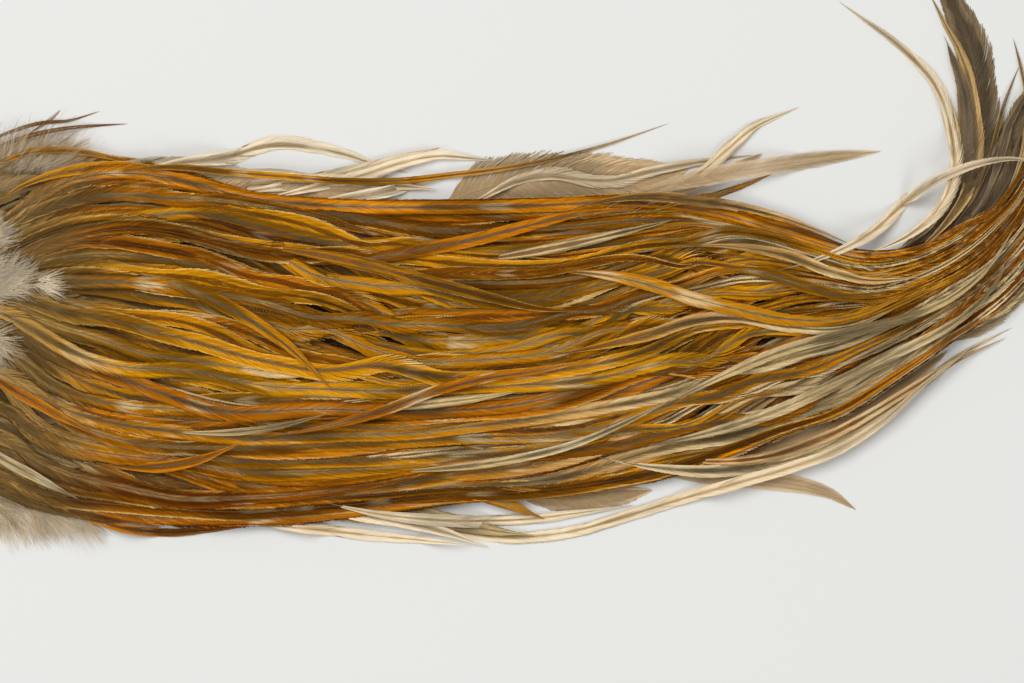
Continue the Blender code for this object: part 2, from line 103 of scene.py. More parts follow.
# Feathers outside the coat: kind, full width and route from root to tip, both in millimetres
LOOSE_FEATHERS = {
    "broad_upper_feather": ("tan", 15,
        [(130, 37), (140, 42.5), (153, 45.8), (168, 46.8), (183, 47.2), (196, 48.2), (208, 51)]),
    "broad_lower_feather_1": ("tan", 7.5,
        [(207, -36), (226, -35.5), (243, -31.5), (258, -24.5), (271, -15.5), (285, -5)]),
    "broad_lower_feather_2": ("tan", 9,
        [(280, -5), (291, 1.5), (300, 9), (309, 18), (317, 30), (322.5, 43)]),
    "broad_lower_feather_3": ("tan", 7, [(148, -46.5), (163, -49.3), (179, -49.3), (196, -46.8)]),
    "lower_stray_1": ("tan", 5.2,
        [(190, -41), (207, -42.8), (223, -43.6), (238, -45), (249, -47.8), (257.6, -52.8)]),
    "broad_curl_feather_1": ("grey", 11,
        [(286, 28), (292, 38), (295.5, 48), (296.2, 58), (295, 69), (293.8, 79), (291.2, 89), (287, 99),
         (281.5, 111)]),
    "broad_curl_feather_2": ("grey", 7.5, [(294, 36), (299, 45), (302.4, 54), (305.4, 63), (309.5, 75)]),
    "shoulder_hackle_1": ("golden", 1.4,
        [(-18, 49), (-8, 54), (2, 58), (11, 60.7), (23, 62.8), (37.5, 63.8)]),
    "shoulder_hackle_2": ("golden", 1.1, [(-15, 54), (-4, 59), (9, 63.5), (20, 64.9), (29, 67.6)]),
    "shoulder_hackle_3": ("golden", 1.9,
        [(-20, 38), (-8, 47.5), (4, 53.6), (13, 55.4), (23, 55.2), (36, 52.8), (50, 50)]),
    "shoulder_hackle_4": ("golden", 3.4,
        [(-6, 36), (6, 44.5), (19, 48.8), (33, 50.5), (46, 49.3), (57, 46.8), (67.4, 43.6)]),
    "upper_stray_1": ("pale", 4.2,
        [(34, 47), (50, 51.4), (65, 53.2), (78, 56.8), (88, 57.2), (101, 55.1), (113, 51.3), (122, 49)]),
    "upper_stray_2": ("pale", 4.6, [(64, 42), (82, 44.5), (100, 48), (112, 51), (122, 54), (131.8, 56.6)]),
    "upper_stray_3": ("pale", 4.0,
        [(72, 39.5), (90, 43.5), (107, 47.8), (120, 51.8), (132, 54), (149.8, 52.4)]),
    "upper_stray_4": ("pale", 3.6, [(84, 38.5), (102, 41), (115, 43.2), (127, 46.6), (140, 48.8)]),
    "upper_stray_5": ("golden", 2.0,
        [(22, 46), (38, 49.6), (52, 50.4), (66, 49.2), (82, 47.9), (100, 46.5), (118, 46.4),
         (134, 48.1), (150, 50.2), (166, 53.2), (183, 57.8), (200.6, 63.8)]),
    "upper_stray_6": ("pale", 3.8,
        [(132, 35), (144, 41), (154, 46), (164, 48), (175, 46.9), (184, 46.8), (196, 49.5), (209, 52),
         (226.3, 54.4)]),
    "upper_stray_7": ("pale", 3.8,
        [(184, 37), (198, 42.5), (209, 48), (218, 55.5), (227, 62.8), (240.2, 68.8)]),
    "upper_stray_8": ("tan", 4.4, [(190, 37), (203, 43.5), (216, 48.2), (229.2, 54.9)]),
    "upper_stray_9": ("golden", 2.2, [(190, 35), (203, 39.6), (213, 41.8), (223, 45), (233, 49)]),
    "upper_stray_10": ("tan", 5.4,
        [(178, 36), (190, 42), (202, 45.3), (216, 48.2), (231, 50.8), (248, 53.4), (265, 55.5)]),
    "upper_edge_hackle": ("golden", 3.2,
        [(166, 36), (180, 40), (194, 41.4), (208, 40.3), (221, 38.6), (234, 35.6), (246, 31.4),
         (255, 27.6)]),
    "curl_stray_1": ("cream", 2.4,
        [(262, 23), (272, 27), (280, 33), (285, 40), (287.6, 48), (288.7, 58), (289, 68), (288, 78),
         (286.4, 85), (284, 90.3)]),
    "curl_stray_2": ("golden", 3.8,
        [(268, 21), (278, 27.5), (286, 36), (291, 45), (293.2, 54), (293.2, 64), (291.8, 75), (289, 84.5),
         (285, 92.5), (279.5, 103.5)]),
    "curl_stray_3": ("golden", 1.4,
        [(287, 33), (293, 42), (297, 51), (299.5, 60), (301.6, 68), (304.1, 74.8), (306.8, 81.3)]),
    "curl_stray_4": ("golden", 2.0,
        [(299, 36), (305.5, 49), (308.6, 61), (308.8, 71), (307.3, 80), (305, 89.5)]),
    "curl_stray_5": ("grey", 2.8,
        [(291, 34), (297, 44), (300.6, 54), (303, 62), (306.8, 69.5), (312, 78)]),
    "curl_stray_6": ("cream", 2.2,
        [(266, 23), (275, 29), (282, 36.5), (286.4, 45), (288, 55), (287.3, 64), (285.3, 71),
         (282.5, 75.8)]),
    "curl_stray_7": ("pale", 3.6,
        [(254, 23.5), (263, 25.5), (272, 29.5), (279.5, 35.5), (284.6, 43.5), (286.5, 53), (285.3, 64),
         (281.8, 74), (276.2, 81.7), (269.2, 88.4), (261, 94.5), (252.5, 100.6)]),
    "curl_stray_8": ("pale", 3.4,
        [(230, 18.5), (243, 22), (254, 26.4), (263, 31.8), (270, 38.2), (278, 44.6), (289, 49.8),
         (299, 52.4), (307, 52.6), (313, 50.4)]),
    "lower_edge_hackle_1": ("cream", 3.8,
        [(176, -36), (194, -39.5), (212, -40.8), (230, -39.2), (246, -34.6), (261, -26.2), (276, -15.6),
         (290, -5.6), (304.5, 2.2)]),
    "lower_edge_hackle_2": ("ginger", 3.0,
        [(192, -35.5), (212, -38), (230, -36.6), (246, -31.4), (259, -25), (273, -16.6), (288, -7.6),
         (302.8, -0.8)]),
    "lower_stray_2": ("pale", 3.6,
        [(118, -53), (134, -58.6), (152, -61), (170, -59.6), (187, -55), (203, -50), (219, -45.2),
         (235, -40.6), (250, -35.2), (264, -26.8), (278, -14.6), (293.4, -2.6)]),
    "lower_stray_3": ("pale", 4.0, [(86, -51), (102, -53.6), (118, -55.8), (132, -59), (146.5, -64)]),
    "lower_stray_4": ("pale", 3.4, [(62, -53), (78, -56.8), (96, -58.8), (114, -60.8), (141, -63.2)]),
    "lower_stray_5": ("pale", 3.6,
        [(92, -49), (112, -53.6), (134, -55.8), (155, -55.8), (173, -53.8), (190.5, -51.3)]),
    "lower_stray_6": ("golden", 3.8, [(132, -44), (145, -48.4), (155, -52), (163.5, -55.6)]),
    "lower_stray_7": ("ginger", 2.8,
        [(10, -48), (24, -54.4), (36, -58), (48, -59.5), (61, -59), (73.6, -57.8)]),
    "crossing_hackle_1": ("golden", 4.6,
        [(26, 22), (42, 18.2), (55, 14.4), (67, 9), (78, 2.6), (88, -4.8), (99.8, -16.4)]),
    "crossing_hackle_2": ("cream", 3.4, [(-14, -27.5), (-1, -36), (11, -42.6), (23.5, -49.3)]),
    "crossing_hackle_3": ("ginger", 3.2, [(-10, -6), (1, -14.2), (12, -20.6), (21, -25.6), (29.5, -30)]),
    "crossing_hackle_4": ("ginger", 3.4, [(26, -38.5), (44, -39.6), (59, -37.4), (72.5, -32.4)]),
    "crossing_hackle_5": ("cream", 2.2, [(48, -29), (66, -29.3), (82, -27.6), (98.5, -23.6)]),
    "crossing_hackle_6": ("ginger", 4.0,
        [(86, 21), (104, 22), (122, 24.8), (140, 28.2), (156, 32.2), (173, 36.2), (192, 38.4)]),
    "crossing_hackle_7": ("golden", 4.0,
        [(70, 27.5), (90, 25), (110, 21), (127, 16.4), (144, 12), (160, 8.2), (174, 7)]),
    "crossing_hackle_8": ("golden", 3.6,
        [(160, -7), (176, -4.2), (192, -0.6), (206, 3.6), (219, 5), (234, 2.8), (247, 1.6), (258, 3.4),
         (268, 7.6)]),
    "crossing_hackle_9": ("golden", 4.2,
        [(158, 19.6), (176, 18.6), (191, 16), (205, 11.8), (219, 8.2), (233, 5.2), (247, 4.4), (260, 7),
         (274, 13.4)]),
    "crossing_hackle_10": ("golden", 3.4,
        [(200, 26.6), (218, 26.8), (234, 24.2), (248, 19.4), (261, 16.4), (276, 17.4)]),
    "crossing_hackle_11": ("golden", 3.8, [(208, 20.6), (226, 19), (241, 14.8), (253, 11.8), (266, 12.8)]),
    "crossing_hackle_12": ("cream", 2.6,
        [(110, -41.4), (132, -40.2), (152, -37.6), (170, -33.4), (186, -27), (202, -19)]),
    "crossing_hackle_13": ("cream", 3.0, [(106, -23.4), (124, -21.2), (141, -19.2), (155.5, -17)]),
    "crossing_hackle_14": ("ginger", 3.2,
        [(76, -31.4), (95, -28), (113, -23.2), (129, -17.4), (145, -13.2), (162, -10.6), (180, -6.6)]),
    "crossing_hackle_15": ("cream", 3.2,
        [(194, -24), (214, -13.6), (233, -5.4), (252, 0), (269, 4.4), (284, 10.6), (296, 20), (305, 33)]),
    "crossing_hackle_16": ("cream", 3.6,
        [(188, -34.6), (210, -30), (231, -23.4), (250, -15), (266, -7), (280, 0), (290, 6.4), (297.5, 14),
         (304, 24)]),
    "crossing_hackle_17": ("golden", 3.2,
        [(132, 21.4), (150, 23.4), (168, 26.6), (185, 30.4), (202, 34.6)]),
}
# How pale the outer half of a feather is where light comes through it: at its root and at its tip
PALE_FEATHERS = {
    "shoulder_hackle_2": (0.6, -0.4),
    "upper_stray_1": (0.7, 0.7),
    "upper_stray_2": (0.7, 0.7),
    "upper_stray_3": (0.6, 0.8),
    "upper_stray_4": (0.7, 0.8),
    "upper_stray_5": (-0.8, 0.6),
    "upper_edge_hackle": (0.0, 0.7),
    "upper_stray_6": (0.4, 0.6),
    "upper_stray_7": (0.5, 0.6),
    "upper_stray_10": (0.2, 0.3),
    "curl_stray_1": (0.4, 0.4),
    "curl_stray_2": (0.5, 0.5),
    "curl_stray_3": (0.6, 0.2),
    "curl_stray_4": (0.5, 0.3),
    "curl_stray_7": (0.4, 0.6),
    "curl_stray_8": (0.6, 0.6),
    "lower_edge_hackle_1": (0.3, 0.3),
    "lower_edge_hackle_2": (0.4, 0.7),
    "lower_stray_2": (0.6, 0.4),
    "lower_stray_3": (0.7, 0.7),
    "lower_stray_4": (0.6, 0.8),
    "lower_stray_5": (0.6, 0.7),
    "crossing_hackle_2": (0.2, 0.2),
    "crossing_hackle_8": (-0.3, 1.3),
    "crossing_hackle_10": (0.2, 0.6),
    "crossing_hackle_17": (0.5, 1.0),
    "edge_vane_1": (0.6, 0.6),
    "edge_vane_2": (0.4, 0.4),
}
# Vanes that show only beside the coat's edge, laid as the loose feathers are
EDGE_FEATHERS = {
    "edge_vane_1": ("pale", 6,
        [(6, 44), (24, 47.5), (42, 50), (56, 50), (68, 48.6), (84, 48), (104, 46.4)]),
    "edge_vane_2": ("pale", 6, [(42, 38), (56, 42), (72, 45), (90, 45.8), (110, 45.6), (131, 44)]),
    "edge_vane_3": ("tan", 9, [(36, 38), (58, 42), (78, 43.4), (97, 43.6), (116, 42.8)]),
    "edge_vane_4": ("cream", 6, [(74, -46), (92, -51), (110, -53.6), (126, -54.8), (142, -54.4)]),
    "edge_vane_5": ("cream", 5.5, [(96, -46), (116, -51.6), (134, -56), (148, -59), (160, -60.4)]),
    "edge_vane_6": ("golden", 3.6, [(2, 41), (12, 48.6), (24, 51.8), (36, 52), (46, 51), (57, 48)]),
    "edge_vane_7": ("ginger", 0.6, [(8, 61), (12, 63.4), (15, 65.6), (17.2, 68)]),
    "edge_vane_8": ("cream", 3.6, [(-40, -40), (-24, -43.5), (-8, -48.2), (4, -51), (17, -54)]),
    "edge_vane_9": ("ginger", 2.4, [(-40, -44), (-24, -47), (-8, -50.4), (3, -53), (14, -55.6)]),
    "edge_vane_10": ("grey", 9.5,
        [(262, 16), (273, 22), (283, 29), (291, 37), (297, 45.5), (301, 55), (303.5, 64)]),
    "edge_vane_11": ("grey", 6.2,
        [(258, 16), (270, 23), (280, 31), (287, 40), (290.3, 50), (291, 60), (290.6, 70),
         (288.6, 78), (285, 87.5)]),
    "edge_vane_12": ("grey", 7.5, [(276, 20), (286, 27), (296, 36), (303, 46), (308, 57), (311, 68)]),
}

# The angle between barbs and shaft near a feather's root and near its tip
HACKLE_LEAN = (0.27, 0.19)
BROAD_LEAN = (0.55, 0.35)
OLIVE_LEAN = (0.42, 0.3)
LEAN_PLACES = (0.1, 0.9)
# The barbs of a feather that is narrower than this close up to its shaft, at most to this share of
# their angle.
OPEN_WIDTH, CLOSED_SHARE = 1.3 * MM, 0.4
# A feather's outline: its width at the root and where it is full, then where it starts to narrow to its
# tip and how roundly
ROOT_WIDTH, ROOT_STRETCH = 0.3, 0.14
HACKLE_TAPER = (0.5, 2)
BROAD_TAPER = (0.6, 2.5)
# How far a feather rolls to its side and over what length, and how far its barbs hang
ROLL, ROLL_LENGTH = 0.05, 55 * MM
HACKLE_DROOP = (0.06, 0.13)
BROAD_DROOP = (0.0, 0.06)

# The coat's feathers spread evenly across it in tiers. More are laid beneath where these leave the most
# bare, and a few are thin and pale.
EVEN_FEATHERS, TIERS = 132, 4
GAP_FEATHERS, GAP_TRIES = 50, 8
THIN_FEATHERS = 8
THIN_WIDTHS = (0.35, 0.5)
# Dark feathers fill the coat from below, their near-black colour partly painted shade of the coat's depths:
# how high they lie in it, and how many at each height
UNDER_HEIGHTS = (0.06, 0.2, 0.36)
UNDER_FEATHERS = 26
# Where the coat's feathers root, how long they are and where they end, as shares of its length
ROOT_SHARES = (0.005, 0.165)
HACKLE_LENGTHS = ((0.28, 0.5), (0.5, 0.72), (0.7, 0.9))
HACKLE_ODDS = (0.3, 0.4, 0.3)
LAST_TIP = 0.99
UNDER_TIPS = (0.75, 0.93)
HACKLE_WIDTHS = (4.1, 5.2)
UNDER_WIDTHS = (5.0, 6.5)
# How they wave and drift across it, as shares of its width
COAT_WAVE, COAT_WAVE_LENGTH = 0.011, 0.28
COAT_DRIFT = 0.04
COAT_EDGES = (0.012, 0.988)
COAT_POINTS = 90
# How often a feather is cream on the outer side of the curl, how often ginger anywhere, near the edges and
# past the skin, and how often one turns pale near the outer edge
CREAM_ODDS = 0.16
GINGER_ODDS = (0.29, 0.3, 0.16)
PALE_ODDS = 0.52
# Short dull feathers at the roots: how many, where they root in millimetres, their lengths and widths
OLIVE_FEATHERS = 150
OLIVE_ROOTS = ((-38, 8), (-34, 40))
OLIVE_LENGTHS = (18 * MM, 34 * MM)
OLIVE_WIDTHS = (4 * MM, 6.5 * MM)
OLIVE_POINTS = 30

# The feathers fan out from a line on the skin. How far they are drawn to it, by where they are along X,
# and how that lessens with their distance from the line.
FAN_LINE = 15 * MM
FAN_X = np.array([-45, -12, 0, 6, 12, 20, 30, 40]) * MM
FAN_PULL = (0.62, 0.56, 0.50, 0.37, 0.25, 0.12, 0.04, 0.0)
FAN_FAR = np.array([-68, -50, -33, -15, 15, 33]) * MM
FAN_HOLD = (0.02, 0.3, 0.75, 1.0, 1.0, 0.8)
# How the feathers gather in locks: lines across the coat, turns along it, and how strong
LOCK_WAVES = ((5, 1.3, 0.012), (8, -2.2, 0.011), (12, 3.1, 0.009), (17, -1.7, 0.006))
ROUTE_STEP = 3 * MM
# No barb lies lower than this above the surface beneath.
LOWEST = 0.1 * MM

# A loose feather comes out from under others: how deep its first stretch lies, and how long that is.
TUCK_DEPTH, TUCK_LENGTH = 2.6 * MM, 34 * MM
LOOSE_STEP = 2 * MM
BROAD_WIDTH = 6
MIDDLE_OF_FEATHER = 90 * MM
EDGE_HEIGHT, EDGE_HIGHEST = 2 * MM, 3.4 * MM
# The feathers' dull bases show where they cross this line along X.
ROOT_LINE = -6 * MM
DOWNY_LENGTH = 26 * MM

# Down: for each tuft its piece, kind, number of plumes, the ends of the line that they root on in
# millimetres, their headings in degrees from +X at those ends, their lengths and the height of their roots.
DOWN_TUFTS = [
    ("upper_down", "down", 24, (-22, 44), (13, 47.5), (66, 30), (13, 20), 2.5),
    ("upper_down", "buff", 54, (-22, 44), (13, 47.5), (66, 30), (14, 21), 2.5),
    ("lower_down", "down", 74, (-22, -44), (22, -50.5), (-62, -28), (14, 18), 2.5),
    ("lower_down", "buff", 40, (-22, -44), (20, -50.5), (-62, -28), (13, 18), 2.5),
    ("upper_down", "olive", 60, (-24, 34), (10, 40), (55, 40), (12, 18), 6),
]
# White fluff on the parting at the left: middle, spread, heading, number of plumes
ROOT_DOWN = [
    ((-8, 16.5), (4, 3), 5, 40),
    ((0.5, 16.5), (2, 1.2), 10, 9),
    ((9.5, 15.4), (1.2, 0.6), -6, 4),
    ((-6.5, 28.5), (2.6, 1.6), 30, 16),
    ((-8, -2), (3, 2.5), -30, 14),
    ((-22, 8), (8, 12), 0, 22),
]
ROOT_DOWN_LENGTHS = (8, 13)
ROOT_DOWN_RISE = 0.4 * MM
PLUME_POINTS = 7
PLUME_SHAFT = 0.45
PLUME_LEAN = (0.42, 0.24)
PLUME_DROOP = (-0.15, 0.2)

# The thickness that each feather adds to the stack, and the cells of the height field that it is kept in
LAYER = 0.5 * MM
CELL = 0.75 * MM
GRID_CORNER = np.array([-60, -80]) * MM
GRID_SIZE = (540, 280)
# Where rays at a solid start, above it or below it
RAY_HEIGHT = 0.1
COAT_MARGIN = 0.3 * MM

# How barbs are set along a shaft
HACKLE_BARBS = {"spacing": 1.02 * MM, "barb_points": 3}
UNDER_BARBS = {"spacing": 3.4 * MM, "barb_points": 3}
OLIVE_BARBS = {"spacing": 0.55 * MM, "barb_points": 3, "lean": OLIVE_LEAN, "fluff": 1.2 * MM}
LOOSE_BARBS = {"spacing": 0.45 * MM, "barb_points": 4}
BROAD_BARBS = {"spacing": 0.24 * MM, "barb_points": 6, "lean": BROAD_LEAN, "fluff": 0.8 * MM,
               "barb_width": 0.26 * MM, "scatter": 0.09}
PLUME_BARBS = {"spacing": 0.2 * MM, "barb_points": 4, "fluff": 2.4 * MM, "barb_width": 0.065 * MM,
               "scatter": 0.8, "shaft": 0.04 * MM}
# The seeds of what varies from barb to barb. The second row of barbs adds one.
LEAN_SEED, DROOP_SEED, FACING_SEED, LENGTH_SEED, SHADE_SEED = 11, 21, 31, 41, 51

# Colours on the 0 to 255 scale of a screen. Barbs: light and deep vane, web, pale patches (painted glints,
# also the colour of feathers that turn pale), root and rim.
PALE_AND_GLINT, DULL_ROOT = (228, 206, 156), (164, 132, 76)
BARB_COLOURS = {
    "golden": ((218, 147, 4), (150, 86, 0), (150, 124, 78), PALE_AND_GLINT, DULL_ROOT, (232, 190, 104)),
    "ginger": ((218, 132, 2), (136, 69, 0), (144, 112, 70), PALE_AND_GLINT, DULL_ROOT, (222, 174, 96)),
    "cream": ((206, 182, 136), (196, 166, 110), (154, 132, 92), (240, 224, 190), DULL_ROOT, (220, 172, 90)),
    "pale": ((229, 201, 154), (217, 185, 133), (198, 168, 124),
             (248, 234, 206), (206, 178, 130), (206, 158, 92)),
    "grey": ((138, 116, 86), (98, 82, 61), (106, 91, 71), (174, 152, 120), (146, 122, 90), (170, 144, 104)),
    "tan": ((217, 187, 142), (198, 166, 122), (186, 156, 116),
            (232, 214, 182), (184, 158, 120), (244, 228, 196)),
    "buff": ((246, 218, 170), (236, 202, 150), (226, 194, 146),
             (250, 236, 208), (214, 184, 140), (250, 236, 206)),
    "olive": ((164, 134, 80), (132, 102, 52), (134, 110, 72),
              (196, 172, 130), (158, 132, 92), (186, 158, 108)),
    "down": ((254, 242, 218), (248, 230, 198), (244, 228, 202),
             (255, 250, 240), (232, 212, 180), (246, 236, 216)),
    # Under feathers: near-black colours, partly painted shade deep in the coat
    "under": ((92, 54, 8), (60, 38, 12), (66, 56, 42), (120, 88, 44), (96, 76, 48), (96, 66, 28)),
}
# How far the web reaches, how strong the painted glint patches are, how rough the barbs are, how much their
# brightness varies with streaks, painted shade and the painted shadow line, and how dark the darkest web is
# against the deep vane
BARB_FINISHES = {
    "golden": (0.24, 0.6, 0.5, 0.37, 0.46),
    "ginger": (0.23, 0.6, 0.5, 0.37, 0.46),
    "cream": (0.18, 0.5, 0.5, 0.4, 0.46),
    "pale": (0.22, 0.5, 0.5, 0.2, 0.75),
    "grey": (0.5, 0.3, 0.7, 0.22, 0.75),
    "tan": (0.6, 0.3, 0.7, 0.14, 0.85),
    "buff": (0.4, 0.3, 0.8, 0.1, 0.9),
    "olive": (0.35, 0.5, 0.8, 0.25, 0.8),
    "down": (0.1, 0.6, 0.9, 0.1, 0.9),
    "under": (0.4, 0.2, 0.65, 0.37, 0.46),
}
# Shafts: at the root and at the tip
SHAFT_COLOURS = {
    "golden": ((120, 82, 40), (90, 56, 22)),
    "ginger": ((104, 62, 28), (80, 44, 18)),
    "cream": ((136, 110, 72), (120, 92, 54)),
    "pale": ((156, 128, 88), (140, 108, 66)),
    "grey": ((150, 132, 104), (120, 100, 72)),
    "down": ((210, 194, 166), (226, 214, 190)),
    "tan": ((176, 154, 120), (150, 128, 92)),
    "buff": ((200, 172, 132), (180, 152, 112)),
    "olive": ((132, 108, 70), (110, 86, 50)),
    "under": ((80, 60, 36), (70, 50, 28)),
}
# Marks on a feather: how fast each changes along it and across it, its seed and its detail. The patches are
# painted glints and the slow shade is painted shade along the feather.
RAGGED_WEB = (110.0, 0.4, 3.0, 2.0)
FINE_STREAKS = (500.0, 5.0, 9.0, 3.0)
BROAD_STREAKS = (20.0, 5.0, 43.0, 2.0)
# The pale patches are painted glints where the barbs twist, partly their paler undersides
GLINT_PATCHES = (52.0, 0.8, 17.0, 1.0)
SLOW_PAINTED_SHADE = (26.0, 0.9, 31.0, 2.0)
BARB_SHINE = 0.03

# The hide's mesh: points around it, and rings from its middle to its rim on either side
HIDE_AROUND, HIDE_RINGS = 160, 36
# The hide's light and dark blotches, and the painted shade in its quill pits
HIDE_LIGHT, HIDE_DARK, HIDE_PIT_SHADE = (196, 164, 112), (150, 108, 62), (92, 62, 34)

# Lights: place, width and power. The surface beneath reaches this far each way.
KEY_LIGHT = ((-0.65, 0.8, 2.3), 1.5, 39.5)
FILL_LIGHT = ((0.9, -1.4, 1.9), 1.2, 14)
ROOM_LIGHT = 0.3
FLOOR_REACH, FLOOR_COLOUR = 3.0, (237, 237, 234)


def smoothstep(low, high, value):
    share = np.clip((np.asarray(value, float) - low) / (high - low), 0, 1)
    return share * share * (3 - 2 * share)


def spline_at(points, places):
    """Points of a smooth curve through `points`, at places that count them from 0."""
    points = np.asarray(points, float)
    places = np.atleast_1d(places)
    first = np.clip(places.astype(int), 0, len(points) - 2)
    t = (places - first)[:, None]
    before = points[np.maximum(first - 1, 0)]
    start, end = points[first], points[first + 1]
    after = points[np.minimum(first + 2, len(points) - 1)]
    return 0.5 * (
        2 * start + (end - before) * t + (2 * before - 5 * start + 4 * end - after) * t ** 2
        + (3 * start - before - 3 * end + after) * t ** 3
    )


def lengths_along(route):
    steps = np.linalg.norm(np.diff(route[:, :2], axis=0), axis=1)
    return np.concatenate([[0], np.cumsum(steps)])


def evenly_spaced(dense, spacing):
    """The same line with points at an even spacing, and how far along it each point is."""
    reached = lengths_along(dense)
    count = max(4, round(reached[-1] / spacing))
    wanted = np.linspace(0, reached[-1], count + 1)
    columns = [np.interp(wanted, reached, dense[:, k]) for k in range(dense.shape[1])]
    return np.stack(columns, 1), wanted


def sideways(route):
    """The level unit direction across a route at each of its points."""
    ahead = np.gradient(route[:, :2], axis=0)
    ahead /= np.linalg.norm(ahead, axis=1)[:, None]
    return np.stack([-ahead[:, 1], ahead[:, 0]], 1)


def windows(values, reach):
    """The values moved by each step up to `reach` either way, for a mean or a highest over neighbours."""
    padded = np.pad(values, reach, mode="edge")
    return [padded[k:k + len(values)] for k in range(2 * reach + 1)]


def coat_points(share, across):
    """Points of the coat, from shares along it and across it."""
    ends = spline_at(COAT_STATIONS, share * (len(COAT_STATIONS) - 1))
    inner, outer = ends[:, :2], ends[:, 2:]
    return outer + (inner - outer) * np.asarray(across)[:, None]


def along_flow(share, across):
    """Where a feather is across the coat, at shares along it, when it goes with the flow."""
    steps = np.clip((share - FLOW_STEPS[0]) / (FLOW_STEPS[1] - FLOW_STEPS[0]), 0, len(FLOW_STEPS) - 1)
    starts = [0.0, *FLOW_LINES, 1.0]
    lines = [spline_at(np.array(line)[:, None], steps)[:, 0] for line in FLOW_LINES.values()]
    here = np.stack([np.zeros(len(share)), *lines, np.ones(len(share))], 1)
    return np.array([np.interp(a, starts, row) for a, row in zip(across, here)])


def gathered(share, across):
    """The same places across the coat, drawn together in locks with slits between them."""
    moved = across.copy()
    for number, (lines, turns, size) in enumerate(LOCK_WAVES):
        phase = lines * across + turns * share + 0.37 * number
        moved += size * np.sin(2 * math.pi * phase)
    return moved


def reach_across(share, is_under):
    """How far across the coat its feathers go: less far where broad or downy ones show beside them."""
    lowest = COAT_EDGES[0] + 0.1 * smoothstep(0.46, 0.56, share) * smoothstep(0.76, 0.66, share)
    lowest = lowest + 0.008 * smoothstep(0.14, 0.19, share) * smoothstep(0.28, 0.24, share)
    highest = COAT_EDGES[1] - 0.14 * smoothstep(0.72, 0.8, share)
    if is_under:
        lowest, highest = lowest + 0.035, highest - 0.035
        lowest = lowest + 0.13 * smoothstep(0.32, 0.2, share)
        highest = highest - 0.16 * smoothstep(0.3, 0.2, share)
    return lowest, highest


def fanned(route):
    """A route with its first stretch drawn to the line that the feathers fan out from."""
    beside = route[:, 1] - FAN_LINE
    pull = np.interp(route[:, 0], FAN_X, FAN_PULL) * np.interp(beside, FAN_FAR, FAN_HOLD)
    return np.stack([route[:, 0], FAN_LINE + beside * (1 - pull)], 1)


def node_tree(name):
    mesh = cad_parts[name].data
    mesh.calc_loop_triangles()
    corners = [tuple(v.co) for v in mesh.vertices]
    return BVHTree.FromPolygons(corners, [tuple(t.vertices) for t in mesh.loop_triangles])


def hit_height(tree, x, y, side=1):
    """The height of a solid's surface at a place, seen from above or, with side -1, from below."""
    hit = tree.ray_cast(Vector((x, y, side * RAY_HEIGHT)), Vector((0, 0, -side)))[0]
    return hit.z if hit else None


def blurred(field, cells):
    """A height field smoothed by a square window, twice."""
    kernel = np.ones(2 * cells + 1) / (2 * cells + 1)
    for _ in range(2):
        for axis in (0, 1):
            padded = np.pad(field, [(cells, cells) if axis == k else (0, 0) for k in (0, 1)], mode="edge")
            field = np.apply_along_axis(np.convolve, axis, padded, kernel, mode="valid")
    return field


def cells_of(places):
    found = np.round((places - GRID_CORNER) / CELL).astype(int)
    return np.clip(found[:, 0], 0, GRID_SIZE[0] - 1), np.clip(found[:, 1], 0, GRID_SIZE[1] - 1)


def coat_surfaces():
    """The coat solid's upper and lower surface as height fields, without its ridges."""
    tree = node_tree("hackle_coat")
    coarse = 4
    shape = (GRID_SIZE[0] // coarse, GRID_SIZE[1] // coarse)
    top, low = np.zeros(shape), np.zeros(shape)
    known = np.zeros(shape, bool)
    for i, j in np.ndindex(shape):
        x, y = GRID_CORNER + np.array([i, j]) * CELL * coarse
        height = hit_height(tree, x, y)
        if height is not None:
            top[i, j], low[i, j], known[i, j] = height, hit_height(tree, x, y, -1), True
    weight = blurred(known.astype(float), 2)
    surfaces = []
    for field in (top, low):
        smooth = blurred(field * known, 2) / np.maximum(weight, 1e-6)
        smooth = np.where(weight > 1e-3, smooth, RIM_LIFT)
        surfaces.append(np.kron(smooth, np.ones((coarse, coarse))))
    return [blurred(surface, 2) for surface in surfaces]


def hackle_width(along, is_broad=False):
    """A feather's half width against its widest, from a thin root to a pointed tip."""
    start, roundness = BROAD_TAPER if is_broad else HACKLE_TAPER
    root = ROOT_WIDTH + (1 - ROOT_WIDTH) * smoothstep(0.0, ROOT_STRETCH, along)
    return root * (1 - np.clip((along - start) / (1 - start), 0, 1) ** roundness)


def fit_barbs(feather):
    """Sets how far out each point's barbs go, so that their tips lie on the outline further on."""
    reached, outline = feather["reached"], feather["outline"]
    roots = reached - outline / np.tan(feather["lean"])
    order = np.maximum.accumulate(roots + np.arange(len(roots)) * 1e-9)
    feather["half_width"] = np.interp(reached, order, outline)
    return feather


def slow_wave(length, scale, size):
    """A smooth random wave along a feather."""
    knots = max(3, int(length / scale) + 2)
    return lambda reached: size * np.interp(
        reached, np.linspace(0, length, knots * 4),
        spline_at(chance.normal(0, 1, (knots, 1)), np.linspace(0, knots - 1, knots * 4))[:, 0],
    )


def closing(outline):
    """How the barbs of a narrow feather close up to its shaft, as a share of their full angle."""
    return CLOSED_SHARE + (1 - CLOSED_SHARE) * np.clip(outline / OPEN_WIDTH, 0, 1)


